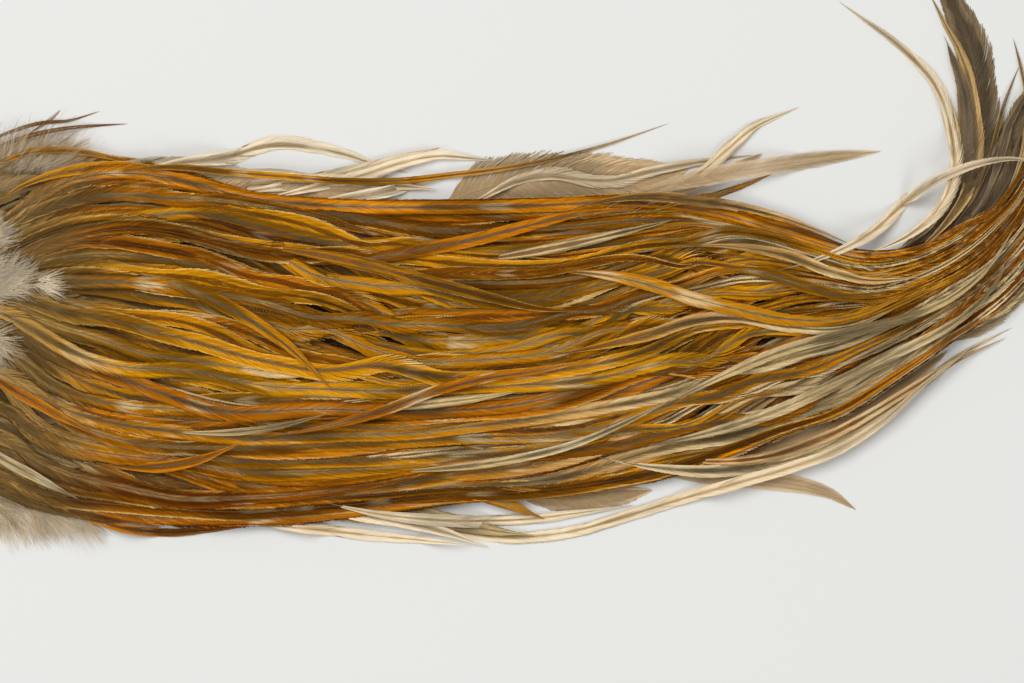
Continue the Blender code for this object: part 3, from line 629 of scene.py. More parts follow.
def new_feather(kind, route, reached, width, is_broad=False):
    """A feather's values at each point of its route. Its height follows later."""
    length, count = reached[-1], len(reached)
    along = reached / length
    outline = width / 2 * hackle_width(along, is_broad)
    lean = np.interp(along, LEAN_PLACES, BROAD_LEAN if is_broad else HACKLE_LEAN)
    return fit_barbs({
        "kind": kind,
        "route": route,
        "reached": reached,
        "along": along,
        "outline": outline,
        "lean": lean if is_broad else lean * closing(outline),
        "roll": slow_wave(length, ROLL_LENGTH, ROLL)(reached),
        "droop": np.full(count, chance.uniform(*(BROAD_DROOP if is_broad else HACKLE_DROOP))),
        "tone": np.full(count, chance.uniform(0, 1)),
        "pale": np.zeros(count),
        "own": np.full(count, chance.uniform(0, 1)),
    })


def coat_kind(share, across):
    """Which colour a coat feather has, by where the middle of it lies."""
    anywhere, near_edge, past_skin = GINGER_ODDS
    edge = 0.3 * smoothstep(0.70, 0.95, across) + smoothstep(0.30, 0.05, across)
    cream = CREAM_ODDS * smoothstep(0.5, 0.6, share) * smoothstep(0.5, 0.2, across)
    ginger = (1 - cream) * (anywhere + near_edge * edge + past_skin * smoothstep(0.28, 0.5, share))
    draw = chance.uniform()
    return "cream" if draw < cream else "ginger" if draw < cream + ginger else "golden"


def downy_base(feather):
    """Wider, softer barbs on the first stretch of a feather, which its root shows."""
    base = smoothstep(DOWNY_LENGTH, 0.3 * DOWNY_LENGTH, feather["reached"])
    feather["outline"] = feather["outline"] * (1 + 0.5 * base)
    feather["lean"] = feather["lean"] * (1 + 0.6 * base)
    return fit_barbs(feather)


def lay_coat_feather(across, is_under=False, depth=None):
    """One feather of the coat, from a root on the skin along the flow of the others."""
    root = np.interp(chance.uniform() if depth is None else depth, (0, 1), ROOT_SHARES)
    if is_under:
        tip = chance.uniform(*UNDER_TIPS)
    else:
        lengths = [chance.uniform(*shares) for shares in HACKLE_LENGTHS]
        tip = min(LAST_TIP, root + chance.choice(lengths, p=HACKLE_ODDS))
    middle = (root + tip) / 2
    share = np.linspace(root, tip, COAT_POINTS)
    wave = slow_wave(1, COAT_WAVE_LENGTH, COAT_WAVE)
    drift = chance.normal(0, COAT_DRIFT) * (share - middle) / (tip - root)
    path = along_flow(share, np.clip(across + wave(np.linspace(0, 1, COAT_POINTS)) + drift, 0, 1))
    path = path if is_under else gathered(share, path)
    dense = coat_points(share, np.clip(path, *reach_across(share, is_under)))
    route, reached = evenly_spaced(dense if is_under else fanned(dense), ROUTE_STEP)
    kind = "under" if is_under else coat_kind(middle, across)
    width = chance.uniform(*(UNDER_WIDTHS if is_under else HACKLE_WIDTHS))
    feather = downy_base(new_feather(kind, route, reached, width * MM))
    feather["root"] = root
    feather["across"] = across
    feather["reached"] = reached - np.interp(ROOT_LINE, route[:, 0], reached)
    places = np.linspace(root, tip, len(reached))
    curl = smoothstep(0.7, 0.85, places)
    deep = smoothstep(0.4, 0.12, across) * smoothstep(0.42, 0.25, places) + 1.4 * curl
    feather["tone"] = np.clip(feather["tone"] + 0.7 * deep, 0, 1)
    feather["own"] = np.clip(feather["own"] + 0.35 * curl, 0, 1)
    turns_pale = chance.uniform() < PALE_ODDS * smoothstep(0.6, 0.2, across)
    if turns_pale and not is_under:
        feather["pale"] = 0.85 * smoothstep(0.4, 0.62, places)
    return feather


def lay_thin_feather(across):
    """A narrow pale feather, of which only a line shows between the others."""
    feather = lay_coat_feather(across)
    feather["kind"] = "golden"
    feather["outline"] = feather["outline"] * chance.uniform(*THIN_WIDTHS)
    feather["lean"] = feather["lean"] * closing(feather["outline"])
    feather["pale"] = np.full(len(feather["reached"]), chance.uniform(0.6, 0.9))
    return fit_barbs(feather)


def lay_olive_feather():
    """A short soft feather among the hackles' roots, which points away from the line on the skin."""
    place = np.array([chance.uniform(*side) for side in OLIVE_ROOTS]) * MM
    beside = (place[1] - FAN_LINE) / (30 * MM)
    heading = 0.8 * math.tanh(beside) + chance.normal(0, 0.14)
    length = chance.uniform(*OLIVE_LENGTHS)
    turn = heading * (1 - 0.75 * np.linspace(0, 1, OLIVE_POINTS))
    ahead = np.stack([np.cos(turn), np.sin(turn)], 1) * length / (OLIVE_POINTS - 1)
    route, reached = evenly_spaced(place + np.cumsum(ahead, 0), ROUTE_STEP)
    feather = new_feather("olive", route, reached, chance.uniform(*OLIVE_WIDTHS), True)
    feather["lean"] = np.interp(feather["along"], LEAN_PLACES, OLIVE_LEAN)
    feather["root"] = np.interp(place[0], COAT_STATIONS[:5, 0], np.linspace(0, 0.21, 5))
    feather["across"] = 0.5
    return fit_barbs(feather)


def footprint(feather, offsets):
    """The points under a feather: for each offset, the route moved that share of its half width."""
    side = sideways(feather["route"])
    return [feather["route"] + side * (feather["outline"] * k)[:, None] for k in offsets]


def rest_on(feather, field):
    """Heights for a feather that lies on a height field, smoothed as a springy shaft would be."""
    under = np.max([field[cells_of(p)] for p in footprint(feather, (-0.8, -0.4, 0, 0.4, 0.8))], axis=0)
    highest = np.max(windows(under, 2), axis=0)
    return np.mean(windows(highest, 3), axis=0)


def raise_field(field, feather, heights):
    """Adds a feather's thickness to the height field beneath it."""
    route, reached = evenly_spaced(np.column_stack([feather["route"], heights]), CELL)
    half = np.interp(reached, feather["reached"], feather["outline"])
    side = sideways(route)
    for k in np.linspace(-1, 1, 11):
        i, j = cells_of(route[:, :2] + side * (half * k)[:, None])
        top = route[:, 2] + LAYER * (1.15 - 0.5 * abs(k))
        np.maximum.at(field, (i, j), top)


def bare_cells(feather, covered):
    """How many cells under a feather no other one covers."""
    return sum(np.count_nonzero(covered[cells_of(p)] == 0) for p in footprint(feather, (-0.6, 0, 0.6)))


def cover(covered, feather):
    raise_field(covered, feather, np.full(len(feather["route"]), LAYER))


def make_under_feathers(top, low):
    """The dark feathers that fill the coat from below, coloured partly as painted shade of its depths."""
    feathers = []
    for number, share in enumerate(UNDER_HEIGHTS):
        for k in range(UNDER_FEATHERS):
            place = k + number / len(UNDER_HEIGHTS) + chance.uniform(0, 0.3)
            across = 0.04 + 0.92 * place / UNDER_FEATHERS
            feather = lay_coat_feather(across, True)
            cells = cells_of(feather["route"])
            feather["height"] = low[cells] + (top[cells] - low[cells]) * share + COAT_MARGIN
            feathers.append(feather)
    return feathers


def make_upper_feathers():
    """The coat's feathers that show, from the lowest to the highest."""
    numbers = np.arange(EVEN_FEATHERS)
    spread = (numbers + chance.uniform(-0.4, 1.4, EVEN_FEATHERS)) / EVEN_FEATHERS
    depths = (numbers % TIERS + chance.uniform(0, 1, EVEN_FEATHERS)) / TIERS
    upper = [lay_coat_feather(a, depth=d) for a, d in zip(np.clip(spread, *COAT_EDGES), depths)]
    covered = np.zeros(GRID_SIZE)
    for feather in upper:
        cover(covered, feather)
    for _ in range(GAP_FEATHERS):
        tries = [lay_coat_feather(chance.uniform(0.02, 0.98)) for _ in range(GAP_TRIES)]
        best = max(tries, key=lambda one: bare_cells(one, covered))
        best["root"] += ROOT_SHARES[1]
        cover(covered, best)
        upper.append(best)
    upper += [lay_thin_feather(chance.uniform(0.03, 0.97)) for _ in range(THIN_FEATHERS)]
    upper += [lay_olive_feather() for _ in range(OLIVE_FEATHERS)]
    upper.sort(key=lambda one: -one["root"] + chance.normal(0, 0.01))
    return upper


def make_coat_feathers():
    """All the coat's feathers, stacked from the lowest to the highest within the coat solid."""
    top, low = coat_surfaces()
    under = make_under_feathers(top, low)
    upper = make_upper_feathers()
    field = np.zeros(GRID_SIZE)
    for feather in upper:
        feather["raw"] = rest_on(feather, field)
        raise_field(field, feather, feather["raw"])
    full = blurred(np.maximum(field, 2 * LAYER), 10)
    start = low + (top - low) * 0.5
    for feather in upper:
        cells = cells_of(feather["route"])
        share = feather["raw"] / full[cells]
        height = start[cells] + (top[cells] - start[cells] - COAT_MARGIN) * share
        feather["height"] = np.mean(windows(height, 2), axis=0)
    return under + upper


def make_loose_feather(name, values, carrier):
    """A feather along a route of its own, at the height of the solid that carries it."""
    kind, width, points = values
    fine = np.linspace(0, len(points) - 1, 20 * len(points))
    route, reached = evenly_spaced(spline_at(points, fine) * MM, LOOSE_STEP)
    is_wide = width > BROAD_WIDTH
    feather = new_feather(kind, route, reached, width * MM, is_wide or kind == "tan")
    opening = 0.7 * TUCK_LENGTH if is_wide else min(1.15 * TUCK_LENGTH, 0.5 * reached[-1])
    feather["outline"] = feather["outline"] * smoothstep(0, opening, reached)
    fit_barbs(feather)
    feather["own"] = 0.3 + 0.32 * feather["own"]
    feather["tone"] = 0.15 + 0.5 * feather["tone"]
    feather["pale"] = np.clip(np.interp(feather["along"], (0, 1), PALE_FEATHERS.get(name, (0, 0))), 0, 1)
    tree = node_tree(carrier)
    heights = [hit_height(tree, x, y) for x, y in route]
    beside = np.nan if carrier == name else EDGE_HEIGHT
    heights = np.array([beside if height is None else height for height in heights])
    if carrier != name:
        heights = np.minimum(heights, EDGE_HIGHEST)
    known = ~np.isnan(heights)
    sunk = TUCK_DEPTH * smoothstep(TUCK_LENGTH, 0.3 * TUCK_LENGTH, reached)
    feather["height"] = np.interp(reached, reached[known], heights[known]) - 0.1 * MM - sunk
    feather["height"] = np.maximum(feather["height"], 3 * LOWEST)
    feather["reached"] = reached + MIDDLE_OF_FEATHER
    return feather


POINT_VALUES = ("half_width", "lean", "roll", "droop", "tone", "pale", "own", "along", "reached")


def lines_object(name, feathers):
    """One mesh of lines, a line for each feather, with its values on the points."""
    points, edges = [], []
    values = {key: [] for key in POINT_VALUES}
    for feather in feathers:
        first = len(points)
        count = len(feather["route"])
        points += [(x, y, z) for (x, y), z in zip(feather["route"], feather["height"])]
        edges += [(first + i, first + i + 1) for i in range(count - 1)]
        for key, held in values.items():
            held.append(feather[key])
    mesh = bpy.data.meshes.new(name)
    mesh.from_pydata(points, edges, [])
    for key, held in values.items():
        layer = mesh.attributes.new(key, "FLOAT", "POINT")
        layer.data.foreach_set("value", np.concatenate(held).astype(np.float32))
    return linked(name, mesh)


def linked(name, data):
    """A new object in the scene."""
    item = bpy.data.objects.new(name, data)
    bpy.context.collection.objects.link(item)
    return item


class Nodes:
    """Adds nodes to a tree, linking sockets and setting values by the inputs' names."""

    def __init__(self, tree):
        self.tree = tree

    def add(self, kind, inputs=(), output=0, **settings):
        node = self.tree.nodes.new(kind)
        for key, value in settings.items():
            setattr(node, key, value)
        for key, value in dict(inputs).items():
            socket = node.inputs[key]
            if isinstance(value, bpy.types.NodeSocket):
                self.tree.links.new(value, socket)
            else:
                socket.default_value = value
        return node.outputs[output]

    def math(self, operation, a, b=0.0, c=0.0):
        return self.add("ShaderNodeMath", {0: a, 1: b, 2: c}, operation=operation)

    def plus(self, a, b):
        return self.math("ADD", a, b)

    def minus(self, a, b):
        return self.math("SUBTRACT", a, b)

    def times(self, a, b):
        return self.math("MULTIPLY", a, b)

    def vector(self, operation, a, b=(0, 0, 0)):
        return self.add("ShaderNodeVectorMath", {0: a, 1: b}, operation=operation)

    def scaled(self, vector, factor):
        return self.add("ShaderNodeVectorMath", {0: vector, "Scale": factor}, operation="SCALE")

    def combined(self, x, y, z):
        return self.add("ShaderNodeCombineXYZ", {0: x, 1: y, 2: z})

    def ramp(self, value, low, high, to_low=0.0, to_high=1.0):
        return self.add(
            "ShaderNodeMapRange",
            {"Value": value, "From Min": low, "From Max": high, "To Min": to_low, "To Max": to_high},
            interpolation_type="SMOOTHSTEP",
        )


class Growth(Nodes):
    """Geometry nodes."""

    def value_of(self, name):
        return self.add("GeometryNodeInputNamedAttribute", {"Name": name}, data_type="FLOAT")

    def chance_of(self, low, high, seed):
        return self.add(
            "FunctionNodeRandomValue", {2: low, 3: high, "Seed": seed}, output=1, data_type="FLOAT"
        )

    def keep_value(self, shape, name, value, domain="POINT", data_type="FLOAT"):
        return self.add(
            "GeometryNodeStoreNamedAttribute", {"Geometry": shape, "Name": name, "Value": value},
            data_type=data_type, domain=domain,
        )

    def place(self):
        """The three coordinates of each point."""
        return self.add("ShaderNodeSeparateXYZ", {0: self.add("GeometryNodeInputPosition")}).node.outputs

    def moved(self, shape, offset):
        return self.add("GeometryNodeSetPosition", {"Geometry": shape, "Offset": offset})

    def placed(self, shape, place):
        return self.add("GeometryNodeSetPosition", {"Geometry": shape, "Position": place})

    def painted(self, shape, material):
        return self.add("GeometryNodeSetMaterial", {"Geometry": shape, "Material": material})

    def joined(self, *shapes):
        node = self.tree.nodes.new("GeometryNodeJoinGeometry")
        for shape in shapes:
            self.tree.links.new(shape, node.inputs[0])
        return node.outputs[0]


def new_growth(name, sockets):
    """An empty geometry tree with named inputs, its input node and its output socket."""
    tree = bpy.data.node_groups.new(name, "GeometryNodeTree")
    tree.interface.new_socket("Geometry", in_out="INPUT", socket_type="NodeSocketGeometry")
    for label, kind in sockets:
        tree.interface.new_socket(label, in_out="INPUT", socket_type=kind)
    tree.interface.new_socket("Geometry", in_out="OUTPUT", socket_type="NodeSocketGeometry")
    given = tree.nodes.new("NodeGroupInput")
    result = tree.nodes.new("NodeGroupOutput")
    return tree, Growth(tree), given.outputs, result.inputs[0]


def barb_shape(grow, segments):
    """One barb, 1 long and 1 wide, that thins to its tip."""
    grid = grow.add("GeometryNodeMeshGrid", {
        "Size X": 1.0, "Size Y": 1.0, "Vertices X": segments, "Vertices Y": 2})
    place = grow.place()
    along = grow.plus(place[0], 0.5)
    thin = grow.minus(1.0, grow.times(grow.times(along, along), 0.4))
    shaped = grow.placed(grid, grow.combined(along, grow.times(place[1], thin), 0.0))
    return grow.keep_value(shaped, "across", grow.place()[0])


def barb_row(grow, given, points, up, shape, wander, row):
    """Barbs from every point of the shaft, to its left in row 0 and to its right in row 1."""
    ahead, side = points["Tangent"], points["Normal"]
    scatter = given["Barb Scatter"]
    least, most = grow.minus(1.0, scatter), grow.plus(1.0, scatter)
    lift = grow.math("MINIMUM", grow.times(scatter, 0.6), 0.06)
    stray = grow.math("MULTIPLY_ADD", wander, (1.0, -0.9)[row], 1.0)
    lean = grow.times(grow.value_of("lean"), stray)
    reach = grow.math("DIVIDE", grow.value_of("half_width"), grow.math("SINE", lean))
    reach = grow.times(reach, grow.chance_of(least, 1.03, LENGTH_SEED + row))
    lean = grow.times(lean, grow.chance_of(least, most, LEAN_SEED + row))
    sine, cosine = grow.math("SINE", lean), grow.math("COSINE", lean)
    droop = grow.chance_of(grow.times(lift, -1.0), lift, DROOP_SEED + row)
    droop = grow.plus(grow.value_of("droop"), droop)
    level = grow.times(grow.math("COSINE", droop), (1.0, -1.0)[row])
    outward = grow.vector("SUBTRACT", grow.scaled(side, level), grow.scaled(up, grow.math("SINE", droop)))
    heading = grow.vector("ADD", grow.scaled(ahead, cosine), grow.scaled(outward, sine))
    across = grow.vector("SUBTRACT", grow.scaled(outward, cosine), grow.scaled(ahead, sine))
    facing = grow.vector("ADD", up, grow.scaled(across, grow.chance_of(-0.17, 0.17, FACING_SEED + row)))
    turn = grow.add("FunctionNodeAxesToRotation", {"Primary Axis": heading, "Secondary Axis": facing},
                    primary_axis="X", secondary_axis="Z")
    step = grow.times(given["Barb Spacing"], sine)
    wide = grow.math("MINIMUM", given["Barb Width"], grow.times(step, given["Barb Overlap"]))
    barbs = grow.add("GeometryNodeInstanceOnPoints", {
        "Points": points["Points"], "Instance": shape, "Rotation": turn,
        "Scale": grow.combined(reach, wide, wide)})
    bow = grow.scaled(across, grow.times(reach, given["Barb Bow"]))
    barbs = grow.keep_value(barbs, "bow", bow, "INSTANCE", "FLOAT_VECTOR")
    return grow.keep_value(barbs, "shade", grow.chance_of(0.0, 1.0, SHADE_SEED + row), "INSTANCE")


def grow_barbs(grow, given, curve):
    """Both rows of barbs, bowed, stirred at their tips and kept above the surface beneath."""
    fine = grow.add("GeometryNodeResampleCurve", {"Curve": curve, "Length": given["Barb Spacing"]},
                    mode="LENGTH")
    points = grow.add("GeometryNodeCurveToPoints", {"Curve": fine}, mode="EVALUATED").node.outputs
    up = grow.vector("CROSS_PRODUCT", points["Tangent"], points["Normal"])
    rise = grow.vector("DOT_PRODUCT", up, (0, 0, 1)).node.outputs["Value"]
    up = grow.scaled(up, grow.math("SIGN", rise))
    wander = grow.add("ShaderNodeTexNoise", {
        "Vector": grow.combined(
            grow.times(grow.value_of("reached"), 220.0), grow.times(grow.value_of("own"), 90.0), 0.0),
        "Scale": 1.0, "Detail": 2.0})
    bunching = grow.math("MINIMUM", grow.times(given["Barb Scatter"], 3.0), 0.28)
    wander = grow.times(grow.minus(wander, 0.5), bunching)
    shape = barb_shape(grow, given["Barb Points"])
    rows = [barb_row(grow, given, points, up, shape, wander, row) for row in (0, 1)]
    barbs = grow.add("GeometryNodeRealizeInstances", {"Geometry": grow.joined(*rows)})
    reached = grow.value_of("across")
    bulge = grow.times(reached, grow.minus(1.0, reached))
    bow = grow.add("GeometryNodeInputNamedAttribute", {"Name": "bow"}, data_type="FLOAT_VECTOR")
    barbs = grow.moved(barbs, grow.scaled(bow, bulge))
    stir = grow.add("ShaderNodeTexNoise", {"Scale": 210.0, "Detail": 1.0}, output=1)
    stir = grow.vector("SUBTRACT", stir, (0.5, 0.5, 0.5))
    barbs = grow.moved(barbs, grow.scaled(stir, grow.times(reached, given["Fluff"])))
    x, y, z = grow.place()
    barbs = grow.placed(barbs, grow.combined(x, y, grow.math("MAXIMUM", z, LOWEST)))
    barbs = grow.add("GeometryNodeRemoveAttribute", {"Geometry": barbs, "Name": "bow"})
    return grow.painted(barbs, given["Barb Material"])


def grow_shaft(grow, given, curve):
    coarse = grow.add("GeometryNodeResampleCurve", {"Curve": curve, "Length": given["Shaft Spacing"]},
                      mode="LENGTH")
    taper = grow.add("ShaderNodeMapRange", {"Value": grow.value_of("along"), "To Min": 1.0, "To Max": 0.25})
    ring = grow.add("GeometryNodeCurvePrimitiveCircle", {"Resolution": 3, "Radius": 1.0}, mode="RADIUS")
    shaft = grow.add("GeometryNodeCurveToMesh", {
        "Curve": coarse, "Profile Curve": ring, "Scale": grow.times(given["Shaft Radius"], taper)})
    return grow.painted(grow.keep_value(shaft, "across", 0.0), given["Shaft Material"])


def make_feather_growth():
    """Grows a shaft and two rows of barbs along each line."""
    tree, grow, given, result = new_growth("Feather growth", [
        ("Barb Spacing", "NodeSocketFloat"),
        ("Barb Width", "NodeSocketFloat"),
        ("Barb Overlap", "NodeSocketFloat"),
        ("Barb Points", "NodeSocketInt"),
        ("Barb Bow", "NodeSocketFloat"),
        ("Barb Scatter", "NodeSocketFloat"),
        ("Fluff", "NodeSocketFloat"),
        ("Shaft Radius", "NodeSocketFloat"),
        ("Shaft Spacing", "NodeSocketFloat"),
        ("Barb Material", "NodeSocketMaterial"),
        ("Shaft Material", "NodeSocketMaterial"),
    ])
    curve = grow.add("GeometryNodeMeshToCurve", {"Mesh": given["Geometry"]})
    curve = grow.add("GeometryNodeSetCurveNormal", {"Curve": curve}, mode="Z_UP")
    curve = grow.add("GeometryNodeSetCurveTilt", {"Curve": curve, "Tilt": grow.value_of("roll")})
    whole = grow.joined(grow_shaft(grow, given, curve), grow_barbs(grow, given, curve))
    tree.links.new(whole, result)
    return tree


def grown(item, tree, values):
    """Runs a geometry tree on an object and leaves the result as its plain mesh."""
    modifier = item.modifiers.new(tree.name, "NODES")
    modifier.node_group = tree
    for socket in tree.interface.items_tree:
        if socket.in_out == "INPUT" and socket.name in values:
            modifier[socket.identifier] = values[socket.name]
    shape = item.evaluated_get(bpy.context.evaluated_depsgraph_get())
    mesh = bpy.data.meshes.new_from_object(shape)
    mesh.name = item.name
    item.modifiers.remove(modifier)
    item.data = mesh
    return item


class Shading(Nodes):
    """Shader nodes."""

    def value_of(self, name):
        return self.add("ShaderNodeAttribute", attribute_name=name, attribute_type="GEOMETRY", output=2)

    def mix(self, share, a, b, blend="MIX"):
        return self.add(
            "ShaderNodeMix", {0: share, 6: a, 7: b}, output=2, data_type="RGBA", blend_type=blend
        )


def make_barb_marks():
    """The marks that all feathers share: the web beside the shaft, the streaks, the pale patches of painted
    glint, a painted shadow line at the vane's edge and painted shade along the feather.
    """
    tree = bpy.data.node_groups.new("Barb marks", "ShaderNodeTree")
    for label, usual in (("Web Reach", 0.38), ("Web Softness", 0.07), ("Glint Patch Amount", 0.5)):
        socket = tree.interface.new_socket(label, in_out="INPUT", socket_type="NodeSocketFloat")
        socket.default_value = usual
    shade = Shading(tree)
    given = tree.nodes.new("NodeGroupInput").outputs
    across, reached = shade.value_of("across"), shade.value_of("reached")
    own, barb = shade.value_of("own"), shade.value_of("shade")

    def wave(fast_along, fast_across, seed, detail):
        place = shade.combined(
            shade.times(reached, fast_along), shade.times(across, fast_across),
            shade.math("MULTIPLY_ADD", own, 61.0, seed))
        return shade.add("ShaderNodeTexNoise", {"Vector": place, "Scale": 1.0, "Detail": detail})

    edge = shade.plus(across, shade.times(shade.minus(wave(*RAGGED_WEB), 0.5), 0.5))
    inside = shade.minus(given["Web Reach"], given["Web Softness"])
    outside = shade.plus(given["Web Reach"], given["Web Softness"])
    streak = shade.math("MULTIPLY_ADD", wave(*BROAD_STREAKS), 0.5, shade.times(wave(*FINE_STREAKS), 0.25))
    marks = {
        "Web": shade.ramp(edge, outside, inside),
        "Streak": shade.math("MULTIPLY_ADD", barb, 0.25, streak),
        # Painted glints: pale patches where the barbs twist, partly their paler undersides
        "Glint Patch": shade.times(shade.ramp(wave(*GLINT_PATCHES), 0.63, 0.73), given["Glint Patch Amount"]),
        "Root": shade.ramp(reached, 0.045, 0.012),
        "Rim": shade.times(shade.ramp(across, 0.68, 0.9), shade.ramp(own, 0.25, 0.75)),
        # Painted shadow: a dark line along the vane's edge of some feathers
        "Shadow Line": shade.times(shade.ramp(across, 0.8, 0.94), shade.ramp(own, 0.6, 0.2)),
        # Painted shade: slow light and dark stretches along a feather, as where it twists
        "Painted Shade": shade.ramp(wave(*SLOW_PAINTED_SHADE), 0.34, 0.66),
    }
    for label in marks:
        tree.interface.new_socket(label, in_out="OUTPUT", socket_type="NodeSocketFloat")
    result = tree.nodes.new("NodeGroupOutput").inputs
    for label, mark in marks.items():
        tree.links.new(mark, result[label])
    return tree


BARB_MARKS = make_barb_marks()


def linear(red, green, blue):
    """A colour as the shaders need it, from the 0 to 255 values that a screen shows."""
    def channel(level):
        level /= 255
        return level / 12.92 if level <= 0.04045 else ((level + 0.055) / 1.055) ** 2.4
    return (channel(red), channel(green), channel(blue), 1.0)


def darker(colour, share):
    return tuple(share * level for level in colour[:3]) + (1.0,)


def new_material(name, roughness):
    material = bpy.data.materials.new(name)
    material.use_nodes = True
    surface = material.node_tree.nodes["Principled BSDF"]
    surface.inputs["Roughness"].default_value = roughness
    return material, Shading(material.node_tree), surface


def make_barb_material(kind):
    """Barbs: outer vane in two tones, a dull web beside the shaft, a light rim and a dull root, with
    painted glints, a painted highlight on the brightest streaks, painted shade along the feather and a
    painted shadow line.
    """
    light, deep, web, pale_and_glint, root, rim = [linear(*colour) for colour in BARB_COLOURS[kind]]
    web_reach, glint_patch_amount, roughness, contrast, darkest = BARB_FINISHES[kind]
    material, shade, surface = new_material(f"{kind.capitalize()} barbs", roughness)
    group = material.node_tree.nodes.new("ShaderNodeGroup")
    group.node_tree = BARB_MARKS
    group.inputs["Web Reach"].default_value = web_reach
    group.inputs["Glint Patch Amount"].default_value = glint_patch_amount
    marks = group.outputs
    own = shade.value_of("own")
    colour = shade.mix(shade.value_of("tone"), light, deep)
    colour = shade.mix(shade.times(marks["Rim"], 0.7), colour, rim)
    colour = shade.mix(shade.value_of("pale"), colour, pale_and_glint)
    web = shade.mix(shade.ramp(own, 0.35, 0.75), web, darker(deep, darkest))
    colour = shade.mix(shade.times(marks["Web"], 0.85), colour, web)
    # Painted glints: the pale patches turn the barbs towards the pale glint colour
    colour = shade.mix(marks["Glint Patch"], colour, pale_and_glint)
    root = shade.mix(shade.ramp(own, 0.2, 0.9), root, darker(root, 0.5))
    colour = shade.mix(shade.times(marks["Root"], 0.8), colour, root)
    # Painted highlight: the brightest streaks turn towards the pale rim colour
    colour = shade.mix(shade.ramp(marks["Streak"], 0.58, 0.82, 0.0, 0.4), colour, rim)
    level = shade.ramp(marks["Streak"], 0.2, 0.8, 1.0 - contrast, 1.0 + 0.6 * contrast)
    # Painted shade along the feather darkens and lightens the barbs
    level = shade.times(level, shade.ramp(marks["Painted Shade"], 0, 1, 1 - 1.6 * contrast, 1.2))
    # Painted shadow line at the vane's edge darkens the barbs' tips
    level = shade.times(level, shade.ramp(marks["Shadow Line"], 0, 1, 1, 1 - 1.4 * contrast))
    grey = shade.add("ShaderNodeCombineColor", {0: level, 1: level, 2: level})
    colour = shade.mix(1.0, colour, grey, "MULTIPLY")
    material.node_tree.links.new(colour, surface.inputs["Base Color"])
    surface.inputs["Specular IOR Level"].default_value = BARB_SHINE
    return material


def make_shaft_material(kind):
    colour, tip = [linear(*colour) for colour in SHAFT_COLOURS[kind]]
    material, shade, surface = new_material(f"{kind.capitalize()} shafts", 0.4)
    mixed = shade.mix(shade.ramp(shade.value_of("along"), 0.2, 0.9), colour, tip)
    material.node_tree.links.new(mixed, surface.inputs["Base Color"])
    return material


BARB_MATERIALS = {kind: make_barb_material(kind) for kind in BARB_COLOURS}
SHAFT_MATERIALS = {kind: make_shaft_material(kind) for kind in SHAFT_COLOURS}
FEATHER_GROWTH = make_feather_growth()


def grow_feathers(name, kind, feathers, spacing, barb_points, lean=HACKLE_LEAN, fluff=0.0,
                  barb_width=None, scatter=0.035, shaft=0.14 * MM):
    """A piece with all these feathers, grown along their lines."""
    item = lines_object(name, feathers)
    grown(item, FEATHER_GROWTH, {
        "Barb Spacing": spacing,
        "Barb Width": barb_width or spacing * lean[0] * 1.5,
        "Barb Overlap": 9 if barb_width else 1.6,
        "Fluff": fluff,
        "Barb Points": barb_points,
        "Barb Bow": 0.85 * lean[1],
        "Barb Scatter": scatter,
        "Shaft Radius": shaft,
        "Shaft Spacing": 6 * MM,
        "Barb Material": BARB_MATERIALS[kind],
        "Shaft Material": SHAFT_MATERIALS[kind],
    })
    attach(item, BODY)
    return item


def make_coat():
    groups = {}
    for feather in make_coat_feathers():
        half = "" if feather["kind"] in ("under", "cream", "olive") else (
            "_upper" if feather["across"] > 0.5 else "_lower")
        groups.setdefault((feather["kind"], half), []).append(feather)
    barbs = {"olive": OLIVE_BARBS, "under": UNDER_BARBS}
    for (kind, half), members in sorted(groups.items()):
        name = f"coat_{kind}_hackles{half}"
        item = grow_feathers(name, kind, members, **barbs.get(kind, HACKLE_BARBS))
        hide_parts("hackle_coat")


def make_loose():
    for name, values in {**LOOSE_FEATHERS, **EDGE_FEATHERS}.items():
        kind, width, _ = values
        carrier = name if name in LOOSE_FEATHERS else "hackle_coat"
        feather = make_loose_feather(name, values, carrier)
        barbs = BROAD_BARBS if width > BROAD_WIDTH else LOOSE_BARBS
        item = grow_feathers(f"{name}_barbs", kind, [feather], **barbs)
        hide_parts(carrier)


def make_plume(kind, place, heading, length, rise):
    """A short downy plume: a soft shaft whose long barbs reach far past its end."""
    steps = np.linspace(0, 1, PLUME_POINTS)
    angles = math.radians(heading) + chance.normal(0, 0.2) * steps
    ahead = np.stack([np.cos(angles), np.sin(angles)], 1) * length * PLUME_SHAFT / (PLUME_POINTS - 1)
    route = np.array(place) + np.cumsum(ahead, 0) - ahead[0]
    plume = new_feather(kind, route, steps * length * PLUME_SHAFT, 1 * MM, True)
    plume["lean"] = np.interp(steps, (0, 1), PLUME_LEAN)
    plume["half_width"] = length * (1 - 0.9 * PLUME_SHAFT * steps) * np.sin(plume["lean"])
    plume["droop"] = np.full(PLUME_POINTS, chance.uniform(*PLUME_DROOP))
    plume["height"] = rise[0] + (rise[1] - rise[0]) * steps
    return plume


def grow_plumes(name, kind, plumes, node):
    item = grow_feathers(name, kind, plumes, **PLUME_BARBS)
    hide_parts(node)


